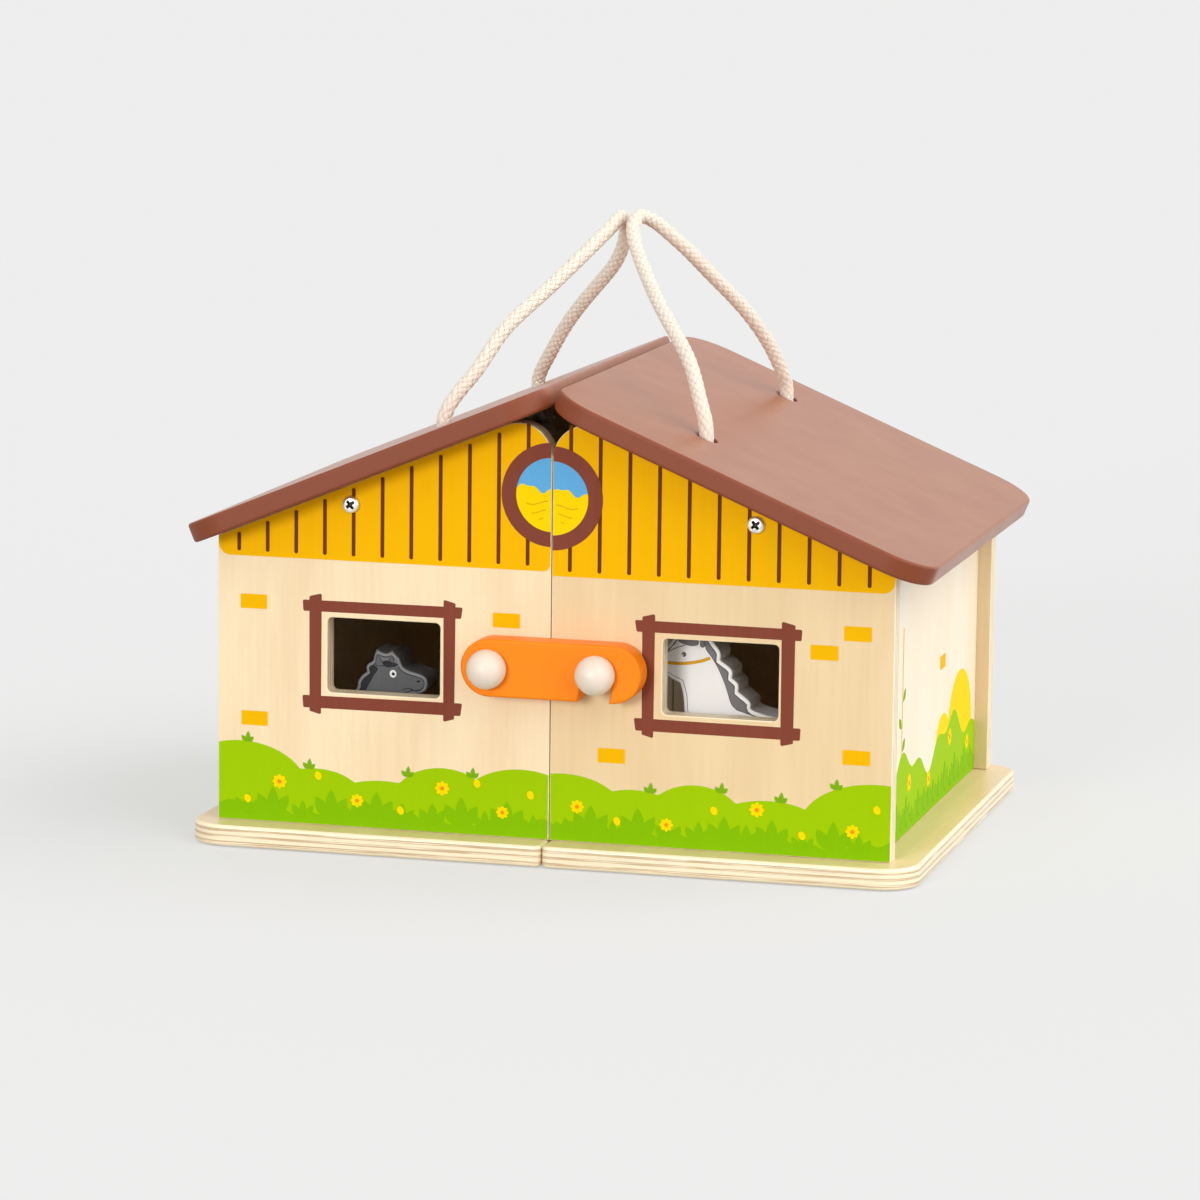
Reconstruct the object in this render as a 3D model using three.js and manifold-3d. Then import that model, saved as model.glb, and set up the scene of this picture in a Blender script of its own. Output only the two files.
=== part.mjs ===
// A wooden carry-along toy barn, in millimetres, +Z up. Two mirrored halves of plywood open like a
// book on two butt hinges at the back, and a wooden hook on the front holds them shut. The front
// looks along -Y and the right half lies at +X.
import * as THREE from 'three';
import { mergeVertices } from 'three/addons/utils/BufferGeometryUtils.js';
import Module from 'manifold-3d';

const wasm = await Module();
wasm.setup();

const LEFT = -1;
const RIGHT = 1;
const quarterTurn = Math.PI / 2;

// Clearances
const seamGap = 0.4;
const glueGap = 0.1;
const slopeGap = 0.3;
const turningGap = 0.2;
const pilotGap = 0.15;
const cutOverrun = 2;

// Walls
const wallSpan = 288;
const wallDepth = 216;
const wallThickness = 9;
const sideWallInset = 6;
const wallTopRadius = 14;
const wallArris = 0.5;

// Windows, measured to the middle of the opening
const windowWidth = 48.8;
const windowHeight = 31.6;
const windowRadius = 2.2;
const windowOffset = 71.8;
const leftWindowLift = 72.4;
const rightWindowLift = 71.4;

// Base boards
const baseThickness = 9;
const leftBaseOverhang = 10.5;
const rightBaseOverhang = 12;
const baseFrontOverhang = 13;
const baseBackOverhang = 6;
const baseCornerRadius = 16;
const baseSeamRadius = 3;
const baseHingeRadius = 14;
const baseArris = 1.5;

// Roof boards and the battens under them
const roofSlope = THREE.MathUtils.degToRad(22.6);
const ridgeLift = 180.6;
const roofThickness = 8.5;
const leftEaveReach = 154;
const rightEaveReach = 158.4;
const roofFrontOverhang = 17;
const roofBackOverhang = 3;
const roofCornerRadius = 20;
const roofArris = 1.3;
const battenWidth = 16;
const battenThickness = 16;
const battenOffset = 85.9;
const battenArris = 0.8;

// Pan head screws through the end walls into the battens
const panHeadRadius = 3.7;
const panHeadHeight = 2.4;
const panShankRadius = 1.75;
const panScrewLength = 22;
const crossLength = 4.4;
const crossWidth = 0.95;
const crossDepth = 1.3;

// Countersunk screws up through the base into the walls
const baseHeadRadius = 3.3;
const baseHeadHeight = 2;
const baseHeadRecess = 0.4;
const baseShankRadius = 1.6;
const baseScrewLength = 24;
const endWallScrewInset = 27;

// Latch hook and its two knobs
const knobSpacing = 46;
const latchLift = 73;
const hookHalfHeight = 12;
const hookThickness = 12;
const hookLip = 1.3;
const hookStandOff = 0.6;
const hookArris = 0.9;
const slotHalfWidth = 6.5;
const knobStemRadius = 5.5;
const knobHeadRadius = 8.2;
const knobHeadCentre = 3;
const knobHeadGap = 0.4;
const knobPegRadius = 4;
const knobPegDepth = 8;

// Butt hinges on the back walls
const leafWidth = 14;
const leafHeight = 26;
const leafThickness = 1.2;
const barrelRadius = 2.6;
const hingePinRadius = 1.2;
const hingePinHead = 0.8;
const hingePinHeadRadius = 2;
const barrelGap = 0.2;
const lowerHingeLift = 30;
const upperHingeLift = 118;
const leafScrewOffset = 8.6;
const leafScrewSpacing = 15;
const leafScrewHeadRadius = 2.2;
const leafScrewHeadHeight = 0.9;
const leafScrewRadius = 1.1;
const leafScrewLength = 7.5;

// Rope handles
const cordRadius = 3.3;
const cordHoleRadius = 4.2;
const cordHoleOffset = 56.4;
const cordHoleFront = 33;
const cordHoleBack = 179;
const knotRadius = 8.5;
const knotTail = 6;

// Standing horses cut from thick board
const horseThickness = 18;
const horseSetBack = 20;
const horseArris = 0.8;
const greyLength = 68;
const greyHeight = 72.2;
const greyRumpGap = 2.3;
const whiteLength = 96;
const whiteHeight = 95;
const whiteRumpGap = 4;

// Counts that set how round things are
const arcSteps = 5;
const roundSides = 24;
const barrelSides = 16;
const screwSides = 12;
const knobArcSteps = 7;
const cordSides = 8;
const cordSteps = 46;
const arrisSteps = 1;

// Places worked out from the sizes above
const halfSpan = wallSpan / 2;
const seam = seamGap / 2;
const baseTop = baseThickness;
const wallFoot = baseTop + glueGap;
const innerFront = wallThickness + glueGap;
const innerBack = wallDepth - wallThickness - glueGap;
const sideOuter = halfSpan - sideWallInset;
const slopeRise = Math.tan(roofSlope);
const slopeRun = Math.cos(roofSlope);
const hingeAxisY = wallDepth + glueGap + barrelRadius;
const knobAxisLift = baseTop + latchLift;
const hookBack = -hookStandOff;
const hookFront = hookBack - hookThickness;
const hookMouthEnd = Math.sqrt((knobSpacing + slotHalfWidth) ** 2 - hookHalfHeight ** 2);
const hookEndCentre = hookMouthEnd + hookLip;
const knobFront = hookFront - knobHeadCentre - knobHeadRadius;
const baseBack = wallDepth + baseBackOverhang;
const battenDrop = glueGap + battenThickness / 2;
const wallScrewLift = roofUnder(battenOffset) - battenDrop / slopeRun;

// Routes of the two handle cords, from the front hole over the top to the back hole: x, then y from
// the front wall's outer face, then z above the base's top
const rightCordRoute = [
  [56.4, 33, 156.6], [56.4, 33, 162], [56.4, 33, 168], [55.6, 33.6, 173], [53.2, 35.8, 179.5],
  [49.6, 40, 188.5], [45.2, 46, 196.2], [36.6, 57, 205.6], [25.4, 71.5, 217], [14.2, 88.5, 230],
  [7.2, 100.5, 239.6], [4.6, 108.4, 245.4], [5.2, 115.4, 248.6], [9.4, 121.8, 246.6],
  [15.2, 127.2, 241], [22, 133.4, 233.4], [29.4, 141.6, 223.6], [38, 151, 212.4],
  [46.4, 161, 199.4], [52.2, 169.6, 186.6], [55, 175.4, 177.4], [56.2, 178.6, 171.6],
  [56.4, 179, 167], [56.4, 179, 162], [56.4, 179, 156.6],
];
const leftCordRoute = [
  [-56.4, 33, 156.6], [-56.4, 33, 162], [-56.4, 33, 168], [-55.2, 34.2, 172.6], [-51, 38.6, 180.4],
  [-45.4, 44.2, 188.6], [-38, 54, 202.6], [-27.4, 69, 216], [-16.4, 85.6, 229], [-8.6, 100.4, 239.4],
  [-5, 110.6, 245], [-4, 120, 247.6], [-4.2, 128.2, 244.6], [-6, 134.6, 237], [-11, 140.4, 227],
  [-19.6, 147.2, 217.2], [-29.6, 154.4, 206.8], [-40.8, 163.2, 193.4], [-49.4, 171.2, 180.8],
  [-54.6, 176.8, 173], [-56.3, 178.8, 168.6], [-56.4, 179, 165], [-56.4, 179, 161],
  [-56.4, 179, 156.6],
];

// Outlines of the horses as shares of length, from rump to muzzle, and of height
const greyOutlineShares = [
  [1, 0.82], [0.994, 0.784], [0.965, 0.757], [0.89, 0.742], [0.82, 0.705], [0.775, 0.64],
  [0.77, 0.53], [0.75, 0.42], [0.715, 0.34], [0.7, 0.2], [0.705, 0.06], [0.725, 0], [0.59, 0],
  [0.6, 0.08], [0.585, 0.29], [0.48, 0.27], [0.35, 0.29], [0.27, 0.24], [0.25, 0.13], [0.265, 0],
  [0.12, 0], [0.14, 0.12], [0.11, 0.28], [0.055, 0.36], [0.03, 0.22], [0, 0.24], [0.005, 0.42],
  [0.025, 0.57], [0.09, 0.65], [0.22, 0.675], [0.38, 0.65], [0.48, 0.69], [0.543, 0.765],
  [0.551, 0.803], [0.575, 0.839], [0.607, 0.864], [0.603, 0.891], [0.616, 0.912], [0.644, 0.929],
  [0.651, 0.949], [0.668, 1], [0.703, 0.984], [0.729, 0.979], [0.75, 0.984], [0.771, 1],
  [0.791, 0.974], [0.815, 0.954], [0.826, 0.93], [0.842, 0.902], [0.877, 0.885], [0.918, 0.875],
  [0.959, 0.865], [0.99, 0.846],
];
const whiteOutlineShares = [
  [1, 0.745], [0.985, 0.705], [0.93, 0.69], [0.856, 0.717], [0.82, 0.704], [0.784, 0.688],
  [0.769, 0.634], [0.764, 0.57], [0.755, 0.53], [0.77, 0.44], [0.745, 0.36], [0.72, 0.3],
  [0.71, 0.16], [0.715, 0.05], [0.735, 0], [0.62, 0], [0.63, 0.07], [0.61, 0.27], [0.5, 0.245],
  [0.34, 0.26], [0.27, 0.23], [0.235, 0.13], [0.245, 0], [0.125, 0], [0.145, 0.11], [0.11, 0.26],
  [0.06, 0.35], [0.035, 0.2], [0, 0.22], [0.005, 0.4], [0.03, 0.52], [0.09, 0.575],
  [0.22, 0.582], [0.345, 0.561], [0.46, 0.586], [0.471, 0.62], [0.524, 0.663], [0.526, 0.697],
  [0.553, 0.722], [0.556, 0.76], [0.606, 0.798], [0.608, 0.836], [0.645, 0.886], [0.657, 0.93],
  [0.69, 1], [0.72, 0.945], [0.748, 0.99], [0.774, 0.92], [0.818, 0.882], [0.852, 0.838],
  [0.91, 0.806], [0.975, 0.792],
];

// Height of the roof's underside at a distance from the seam
function roofUnder(distance) {
  return baseTop + ridgeLift - distance * slopeRise;
}

// Top edge of a wall at a distance from the seam, a slope gap under the roof
function wallTop(distance) {
  return roofUnder(distance) - slopeGap / slopeRun;
}

// A closed outline through corners of x, y and radius, with each corner a true arc
function roundedOutline(corners) {
  const shape = new THREE.Shape();
  corners.forEach(([x, y, radius], index) => {
    const here = new THREE.Vector2(x, y);
    const before = new THREE.Vector2(...corners.at(index - 1));
    const after = new THREE.Vector2(...corners[(index + 1) % corners.length]);
    const back = before.sub(here).normalize();
    const on = after.sub(here).normalize();
    const halfAngle = Math.acos(back.dot(on)) / 2;
    const reach = radius / Math.tan(halfAngle);
    const start = here.clone().addScaledVector(back, reach);
    if (index === 0) shape.moveTo(start.x, start.y);
    else shape.lineTo(start.x, start.y);
    if (radius === 0) return;
    const middle = back.clone().add(on).normalize();
    const centre = here.clone().addScaledVector(middle, radius / Math.sin(halfAngle));
    const end = here.clone().addScaledVector(on, reach);
    const clockwise = back.cross(on) > 0;
    const startAngle = start.sub(centre).angle();
    const endAngle = end.sub(centre).angle();
    shape.absarc(centre.x, centre.y, radius, startAngle, endAngle, clockwise);
  });
  shape.closePath();
  return shape;
}

// A flat board of an outline, with eased arrises, lying on the plane z = 0
function board(shape, thickness, arris) {
  return new THREE.ExtrudeGeometry(shape, {
    depth: thickness - 2 * arris,
    curveSegments: arcSteps,
    bevelThickness: arris,
    bevelSize: arris,
    bevelOffset: -arris,
    bevelSegments: arrisSteps,
  }).translate(0, 0, arris);
}

// A board standing on edge, its outline in x and z, with its front face at a depth
function uprightBoard(shape, thickness, arris, front) {
  return board(shape, thickness, arris).rotateX(quarterTurn).translate(0, front + thickness, 0);
}

// A square-edged bar of an outline, for cutting
function cutter(shape, depth) {
  return new THREE.ExtrudeGeometry(shape, { depth, curveSegments: arcSteps, bevelEnabled: false });
}

// A round rod along +Z from a start to an end
function rod(radius, start, end, sides = roundSides) {
  const length = end - start;
  const cylinder = new THREE.CylinderGeometry(radius, radius, length, sides);
  return cylinder.rotateX(quarterTurn).translate(0, 0, start + length / 2);
}

// A turned body about +Z from pairs of radius and height
function turned(profile, sides) {
  const points = profile.map(([radius, height]) => new THREE.Vector2(radius, height));
  return new THREE.LatheGeometry(points, sides).rotateX(quarterTurn);
}

// The shape alone, without normals or texture coordinates
function bare(geometry) {
  const copy = geometry.index ? geometry.toNonIndexed() : geometry.clone();
  copy.deleteAttribute('normal');
  copy.deleteAttribute('uv');
  return copy;
}

function toSolid(geometry) {
  const merged = mergeVertices(bare(geometry));
  const triVerts = Uint32Array.from(merged.index.array);
  const vertProperties = merged.attributes.position.array;
  return new wasm.Manifold(new wasm.Mesh({ numProp: 3, vertProperties, triVerts }));
}

function toGeometry(solid) {
  const mesh = solid.getMesh();
  const geometry = new THREE.BufferGeometry();
  geometry.setAttribute('position', new THREE.BufferAttribute(mesh.vertProperties, 3));
  geometry.setIndex(new THREE.BufferAttribute(mesh.triVerts, 1));
  return geometry;
}

function cut(geometry, cutters) {
  return toGeometry(cutters.reduce((body, tool) => body.subtract(toSolid(tool)), toSolid(geometry)));
}

function join(geometries) {
  return toGeometry(geometries.map(toSolid).reduce((body, other) => body.add(other)));
}

function finish(color, roughness, metalness = 0) {
  return { color, roughness, metalness };
}

const birch = finish(0xecd9ab, 0.6);
const roofPaint = finish(0x95604c, 0.55);
const orangePaint = finish(0xfb9428, 0.45);
const knobPaint = finish(0xf4e6d6, 0.35);
const steel = finish(0xc4c6c8, 0.3, 1);
const cotton = finish(0xe9e0cc, 0.95);
const greyPaint = finish(0x6a6a6c, 0.5);
const whitePaint = finish(0xf3f2f0, 0.5);

// A named mesh with its own material, in the frame of the group that takes it
function piece(name, geometry, surface) {
  const loose = bare(geometry);
  loose.computeVertexNormals();
  const mesh = new THREE.Mesh(loose, new THREE.MeshStandardMaterial(surface));
  mesh.name = name;
  return mesh;
}

// Copies of one kind of piece, numbered from 1
function pieces(name, geometries, surface) {
  return geometries.map((geometry, index) => piece(`${name}_${index + 1}`, geometry, surface));
}

function sideName(side) {
  return side === LEFT ? 'left' : 'right';
}

// Middles of the base screws of one half: two under each end wall and one under the side wall
function baseScrewPlaces(side) {
  const near = side * endWallScrewInset;
  const far = side * (halfSpan - endWallScrewInset);
  const frontY = wallThickness / 2;
  const backY = wallDepth - wallThickness / 2;
  const sideX = side * (sideOuter - wallThickness / 2);
  const ends = [near, far].flatMap((x) => [[x, frontY], [x, backY]]);
  return [...ends, [sideX, wallDepth / 2]];
}

function screwPilots(side, isHere) {
  const radius = baseShankRadius + pilotGap;
  const top = baseScrewLength + baseHeadRecess + pilotGap;
  return baseScrewPlaces(side).filter(isHere).map(([x, y]) => (
    rod(radius, baseTop - cutOverrun, top, screwSides).translate(x, y, 0)
  ));
}

function baseBoard(side) {
  const overhang = side === LEFT ? leftBaseOverhang : rightBaseOverhang;
  const outer = side * (halfSpan + overhang);
  const shape = roundedOutline([
    [side * seam, -baseFrontOverhang, baseSeamRadius],
    [outer, -baseFrontOverhang, baseCornerRadius],
    [outer, baseBack, baseCornerRadius],
    [side * seam, baseBack, baseHingeRadius],
  ]);
  const headHole = baseHeadRadius + pilotGap;
  const shankHole = baseShankRadius + pilotGap;
  const coneTop = baseHeadRecess + baseHeadHeight;
  const hole = turned([
    [0, -cutOverrun], [headHole, -cutOverrun], [headHole, baseHeadRecess], [shankHole, coneTop],
    [shankHole, baseTop + cutOverrun], [0, baseTop + cutOverrun],
  ], screwSides);
  const holes = baseScrewPlaces(side).map(([x, y]) => hole.clone().translate(x, y, 0));
  return cut(board(shape, baseThickness, baseArris), holes);
}

function baseScrews(side) {
  const screw = turned([
    [0, baseHeadRecess], [baseHeadRadius, baseHeadRecess],
    [baseShankRadius, baseHeadRecess + baseHeadHeight],
    [baseShankRadius, baseScrewLength], [0, baseScrewLength + baseHeadRecess],
  ], screwSides);
  return baseScrewPlaces(side).map(([x, y]) => screw.clone().translate(x, y, 0));
}

// The outline that the front and the back wall of one half share
function endWallOutline(side) {
  return roundedOutline([
    [side * seam, wallFoot, 0],
    [side * halfSpan, wallFoot, 0],
    [side * halfSpan, wallTop(halfSpan), 0],
    [side * seam, wallTop(seam), wallTopRadius],
  ]);
}

function windowLift(side) {
  return baseTop + (side === LEFT ? leftWindowLift : rightWindowLift);
}

function windowCutter(side) {
  const x = side * windowOffset;
  const z = windowLift(side);
  const corners = [[-1, -1], [1, -1], [1, 1], [-1, 1]].map(([across, up]) => (
    [x + across * windowWidth / 2, z + up * windowHeight / 2, windowRadius]
  ));
  const depth = wallThickness + 2 * cutOverrun;
  return cutter(roundedOutline(corners), depth).rotateX(quarterTurn).translate(0, depth - cutOverrun, 0);
}

// Rods along +Y, for holes and pins through the end walls
function crossRod(radius, start, end, x, z, sides) {
  return rod(radius, -end, -start, sides).rotateX(quarterTurn).translate(x, 0, z);
}

function frontWall(side) {
  const wall = uprightBoard(endWallOutline(side), wallThickness, wallArris, 0);
  const overrun = wallThickness + cutOverrun;
  const knobHole = knobPegRadius + pilotGap;
  const pegEnd = knobPegDepth + pilotGap;
  const screwHole = panShankRadius + pilotGap;
  return cut(wall, [
    windowCutter(side),
    crossRod(knobHole, -cutOverrun, pegEnd, side * knobSpacing / 2, knobAxisLift, roundSides),
    crossRod(screwHole, -cutOverrun, overrun, side * battenOffset, wallScrewLift, screwSides),
    ...screwPilots(side, ([, y]) => y < innerFront),
  ]);
}

function backWall(side) {
  const front = wallDepth - wallThickness;
  const wall = uprightBoard(endWallOutline(side), wallThickness, wallArris, front);
  const screwHole = panShankRadius + pilotGap;
  const back = wallDepth + cutOverrun;
  const leafHole = leafScrewRadius + pilotGap;
  const leafHoleEnd = wallDepth + glueGap + leafThickness - leafScrewLength - pilotGap;
  return cut(wall, [
    crossRod(screwHole, front - cutOverrun, back, side * battenOffset, wallScrewLift, screwSides),
    ...leafScrewPlaces(side).map(([x, z]) => crossRod(leafHole, leafHoleEnd, back, x, z, screwSides)),
    ...screwPilots(side, ([, y]) => y > innerBack),
  ]);
}

function sideWall(side) {
  const inner = sideOuter - wallThickness;
  const shape = roundedOutline([
    [side * inner, wallFoot, 0],
    [side * sideOuter, wallFoot, 0],
    [side * sideOuter, wallTop(sideOuter), 0],
    [side * inner, wallTop(inner), 0],
  ]);
  const wall = uprightBoard(shape, innerBack - innerFront, wallArris, innerFront);
  return cut(wall, screwPilots(side, ([, y]) => y > innerFront && y < innerBack));
}

// One roof board in its own sloped frame: x down the slope, z square to the board
function roofBoard(side) {
  const ridge = side * seam / slopeRun;
  const eaveReach = side === LEFT ? leftEaveReach : rightEaveReach;
  const eave = side * eaveReach / slopeRun;
  const back = wallDepth + roofBackOverhang;
  const shape = roundedOutline([
    [ridge, -roofFrontOverhang, roofCornerRadius],
    [eave, -roofFrontOverhang, roofCornerRadius],
    [eave, back, roofCornerRadius],
    [ridge, back, roofCornerRadius],
  ]);
  const reach = roofThickness + cutOverrun;
  const holes = [cordHoleFront, cordHoleBack].map((y) => (
    rod(cordHoleRadius, -reach, 2 * reach, roundSides)
      .rotateY(-side * roofSlope)
      .translate(side * cordHoleOffset / slopeRun, y, 0)
  ));
  return cut(board(shape, roofThickness, roofArris), holes);
}

// The bar under a roof board that the end walls are screwed to, in the same sloped frame
function roofBatten(side) {
  const length = innerBack - innerFront;
  const middle = side * (battenOffset / slopeRun + battenDrop * slopeRise);
  const shape = roundedOutline([
    [-battenWidth / 2, -battenThickness / 2, 0],
    [battenWidth / 2, -battenThickness / 2, 0],
    [battenWidth / 2, battenThickness / 2, 0],
    [-battenWidth / 2, battenThickness / 2, 0],
  ]);
  const bar = uprightBoard(shape, length, battenArris, innerFront).translate(middle, 0, -battenDrop);
  const radius = panShankRadius + pilotGap;
  const depth = panScrewLength + pilotGap;
  return cut(bar, [
    crossRod(radius, -cutOverrun, depth, middle, -battenDrop, screwSides),
    crossRod(radius, wallDepth - depth, wallDepth + cutOverrun, middle, -battenDrop, screwSides),
  ]);
}

// A group that carries what follows the slope of one roof board
function slopedGroup(side, pieces) {
  const group = new THREE.Group();
  group.position.z = baseTop + ridgeLift;
  group.rotation.y = side * roofSlope;
  group.add(...pieces);
  return group;
}

// A pan head screw along +Z with its head at the bottom and a cross recess in it
function panScrew() {
  const rim = panHeadHeight / 4;
  const body = turned([
    [0, -panHeadHeight], [panHeadRadius / 2, -panHeadHeight + rim / 2],
    [panHeadRadius, -panHeadHeight + 2 * rim], [panHeadRadius, 0], [panShankRadius, 0],
    [panShankRadius, panScrewLength - panShankRadius], [0, panScrewLength],
  ], roundSides);
  const arm = new THREE.BoxGeometry(crossLength, crossWidth, 2 * crossDepth);
  const lowered = arm.translate(0, 0, -panHeadHeight);
  return cut(body, [lowered, lowered.clone().rotateZ(quarterTurn)]);
}

function wallScrews(side) {
  const screw = panScrew();
  const x = side * battenOffset;
  const front = screw.clone().rotateX(-quarterTurn).translate(x, -glueGap, wallScrewLift);
  const back = screw.rotateX(quarterTurn).translate(x, wallDepth + glueGap, wallScrewLift);
  return [front, back];
}

// A knob about its axis: peg in the wall, stem, and a ball head flattened at the back
function latchKnob(side) {
  const stemEnd = -hookFront + knobHeadGap;
  const ballCentre = -hookFront + knobHeadCentre;
  const flatSide = ballCentre - stemEnd;
  const startAngle = -Math.asin(flatSide / knobHeadRadius);
  const ball = Array.from({ length: knobArcSteps + 1 }, (_, step) => {
    const angle = startAngle + (quarterTurn - startAngle) * step / knobArcSteps;
    const radius = step === knobArcSteps ? 0 : knobHeadRadius * Math.cos(angle);
    return [radius, ballCentre + knobHeadRadius * Math.sin(angle)];
  });
  const knob = turned([
    [0, -knobPegDepth], [knobPegRadius, -knobPegDepth], [knobPegRadius, glueGap],
    [knobStemRadius, glueGap], [knobStemRadius, stemEnd], ...ball,
  ], roundSides);
  return knob.rotateX(quarterTurn).translate(side * knobSpacing / 2, 0, knobAxisLift);
}

// The hook about its pivot: a bar with round ends and a slot that follows the swing
function latchHook() {
  const seatDrop = slotHalfWidth - knobStemRadius - slopeGap;
  const slotAngle = -seatDrop / knobSpacing;
  const innerWall = knobSpacing - slotHalfWidth;
  const outerWall = knobSpacing + slotHalfWidth;
  const innerMouth = -Math.asin(hookHalfHeight / innerWall);
  const outerMouth = -Math.asin(hookHalfHeight / outerWall);
  const topX = knobSpacing * Math.cos(slotAngle);
  const topY = knobSpacing * Math.sin(slotAngle);
  const shape = new THREE.Shape();
  shape.absarc(0, 0, hookHalfHeight, quarterTurn, -quarterTurn, false);
  shape.absarc(0, 0, innerWall, innerMouth, slotAngle, false);
  shape.absarc(topX, topY, slotHalfWidth, Math.PI + slotAngle, slotAngle, true);
  shape.absarc(0, 0, outerWall, slotAngle, outerMouth, true);
  shape.absarc(hookEndCentre, 0, hookHalfHeight, -quarterTurn, quarterTurn, false);
  shape.closePath();
  const hook = uprightBoard(shape, hookThickness, hookArris, hookFront);
  const hole = crossRod(knobStemRadius + turningGap, hookFront - cutOverrun, cutOverrun, 0, 0, roundSides);
  return cut(hook, [hole]).translate(-knobSpacing / 2, 0, knobAxisLift);
}

const hingeLifts = [lowerHingeLift, upperHingeLift];

function leafScrewLifts(lift) {
  return [-1, 1].map((end) => baseTop + lift + end * leafScrewSpacing / 2);
}

// Middles of the screws in the hinge leaves of one half, in x and z
function leafScrewPlaces(side) {
  return hingeLifts.flatMap((lift) => leafScrewLifts(lift).map((z) => [side * leafScrewOffset, z]));
}

// One leaf with the barrels it owns: the outer two on the left half, the middle one on the right
function hingeLeaf(side, lift) {
  const third = leafHeight / 3;
  const middles = side === LEFT ? [-third, third] : [0];
  const barrelHeight = third - barrelGap;
  const plateStart = barrelRadius + turningGap;
  const plateWidth = leafWidth - plateStart;
  const plateY = wallDepth + glueGap + leafThickness / 2;
  const centreZ = baseTop + lift;
  const plate = new THREE.BoxGeometry(plateWidth, leafThickness, leafHeight)
    .translate(side * (plateStart + plateWidth / 2), plateY, centreZ);
  const overlap = leafThickness;
  const barrels = middles.flatMap((middle) => {
    const start = centreZ + middle - barrelHeight / 2;
    const tongue = new THREE.BoxGeometry(plateStart + overlap, leafThickness, barrelHeight)
      .translate(side * (plateStart + overlap) / 2, plateY, centreZ + middle);
    const barrel = rod(barrelRadius, start, start + barrelHeight, barrelSides);
    return [barrel.translate(0, hingeAxisY, 0), tongue];
  });
  const boreRadius = hingePinRadius + turningGap / 2;
  const bore = rod(boreRadius, centreZ - leafHeight, centreZ + leafHeight, barrelSides)
    .translate(0, hingeAxisY, 0);
  const back = wallDepth + glueGap + leafThickness;
  const headHole = leafScrewHeadRadius + pilotGap;
  const shankHole = leafScrewRadius + pilotGap;
  const screwHole = turned([
    [0, -cutOverrun], [shankHole, -cutOverrun], [shankHole, leafThickness - leafScrewHeadHeight],
    [headHole, leafThickness], [headHole, back], [0, back],
  ], screwSides).rotateX(-quarterTurn);
  const holes = leafScrewLifts(lift).map((z) => (
    screwHole.clone().translate(side * leafScrewOffset, back - leafThickness, z)
  ));
  return cut(join([plate, ...barrels]), [bore, ...holes]);
}

function hingeLeaves(side) {
  return hingeLifts.map((lift) => hingeLeaf(side, lift));
}

function hingePins() {
  const end = leafHeight / 2;
  const pin = turned([
    [0, -end - hingePinHead], [hingePinHeadRadius, -end - hingePinHead],
    [hingePinHeadRadius, -end - barrelGap / 2], [hingePinRadius, -end - barrelGap / 2],
    [hingePinRadius, end], [0, end],
  ], screwSides);
  return hingeLifts.map((lift) => pin.clone().translate(0, hingeAxisY, baseTop + lift));
}

function hingeScrews(side) {
  const screw = turned([
    [0, -leafScrewLength], [leafScrewRadius, leafScrewRadius - leafScrewLength],
    [leafScrewRadius, -leafScrewHeadHeight], [leafScrewHeadRadius, 0], [0, 0],
  ], screwSides).rotateX(-quarterTurn);
  const back = wallDepth + glueGap + leafThickness;
  return leafScrewPlaces(side).map(([x, z]) => screw.clone().translate(x, back, z));
}

// A handle cord as a tube along its route
function handleCord(route) {
  const points = route.map(([x, y, z]) => new THREE.Vector3(x, y, baseTop + z));
  const section = new THREE.Shape().absarc(0, 0, cordRadius, 0, 2 * Math.PI, false);
  return new THREE.ExtrudeGeometry(section, {
    steps: cordSteps,
    curveSegments: cordSides / 2,
    extrudePath: new THREE.CatmullRomCurve3(points),
  });
}

// The knots that stop a cord's two ends under the roof board, each with its short tail
function handleKnots(side) {
  const x = side * cordHoleOffset;
  const z = roofUnder(cordHoleOffset) - (knotRadius + slopeGap) / slopeRun;
  const ball = new THREE.SphereGeometry(knotRadius, screwSides, knobArcSteps).rotateX(quarterTurn);
  const knot = join([ball, rod(cordRadius, -knotRadius - knotTail, 0, screwSides)]);
  return [cordHoleFront, cordHoleBack].map((y) => knot.clone().translate(x, y, z));
}

// A horse from its outline of shares, facing the seam, with its rump a gap from the side wall
function horse(side, outlineShares, length, height, rumpGap) {
  const facing = -side;
  const rump = side * (sideOuter - wallThickness - rumpGap);
  const points = outlineShares.map(([along, up]) => (
    new THREE.Vector2(rump + facing * along * length, wallFoot + up * height)
  ));
  return uprightBoard(new THREE.Shape(points), horseThickness, horseArris, horseSetBack);
}

function barnHalf(side) {
  const name = sideName(side);
  const half = new THREE.Group();
  half.add(
    piece(`${name}_base`, baseBoard(side), birch),
    ...pieces(`${name}_base_screw`, baseScrews(side), steel),
    piece(`${name}_front_wall`, frontWall(side), birch),
    piece(`${name}_back_wall`, backWall(side), birch),
    piece(`${name}_side_wall`, sideWall(side), birch),
    slopedGroup(side, [
      piece(`${name}_roof`, roofBoard(side), roofPaint),
      piece(`${name}_roof_batten`, roofBatten(side), birch),
    ]),
    ...pieces(`${name}_wall_screw`, wallScrews(side), steel),
    ...pieces(`${name}_hinge_leaf`, hingeLeaves(side), steel),
    ...pieces(`${name}_hinge_screw`, hingeScrews(side), steel),
    piece(`${name}_handle_cord`, handleCord(side === LEFT ? leftCordRoute : rightCordRoute), cotton),
    ...pieces(`${name}_handle_knot`, handleKnots(side), cotton),
  );
  return half;
}

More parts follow.
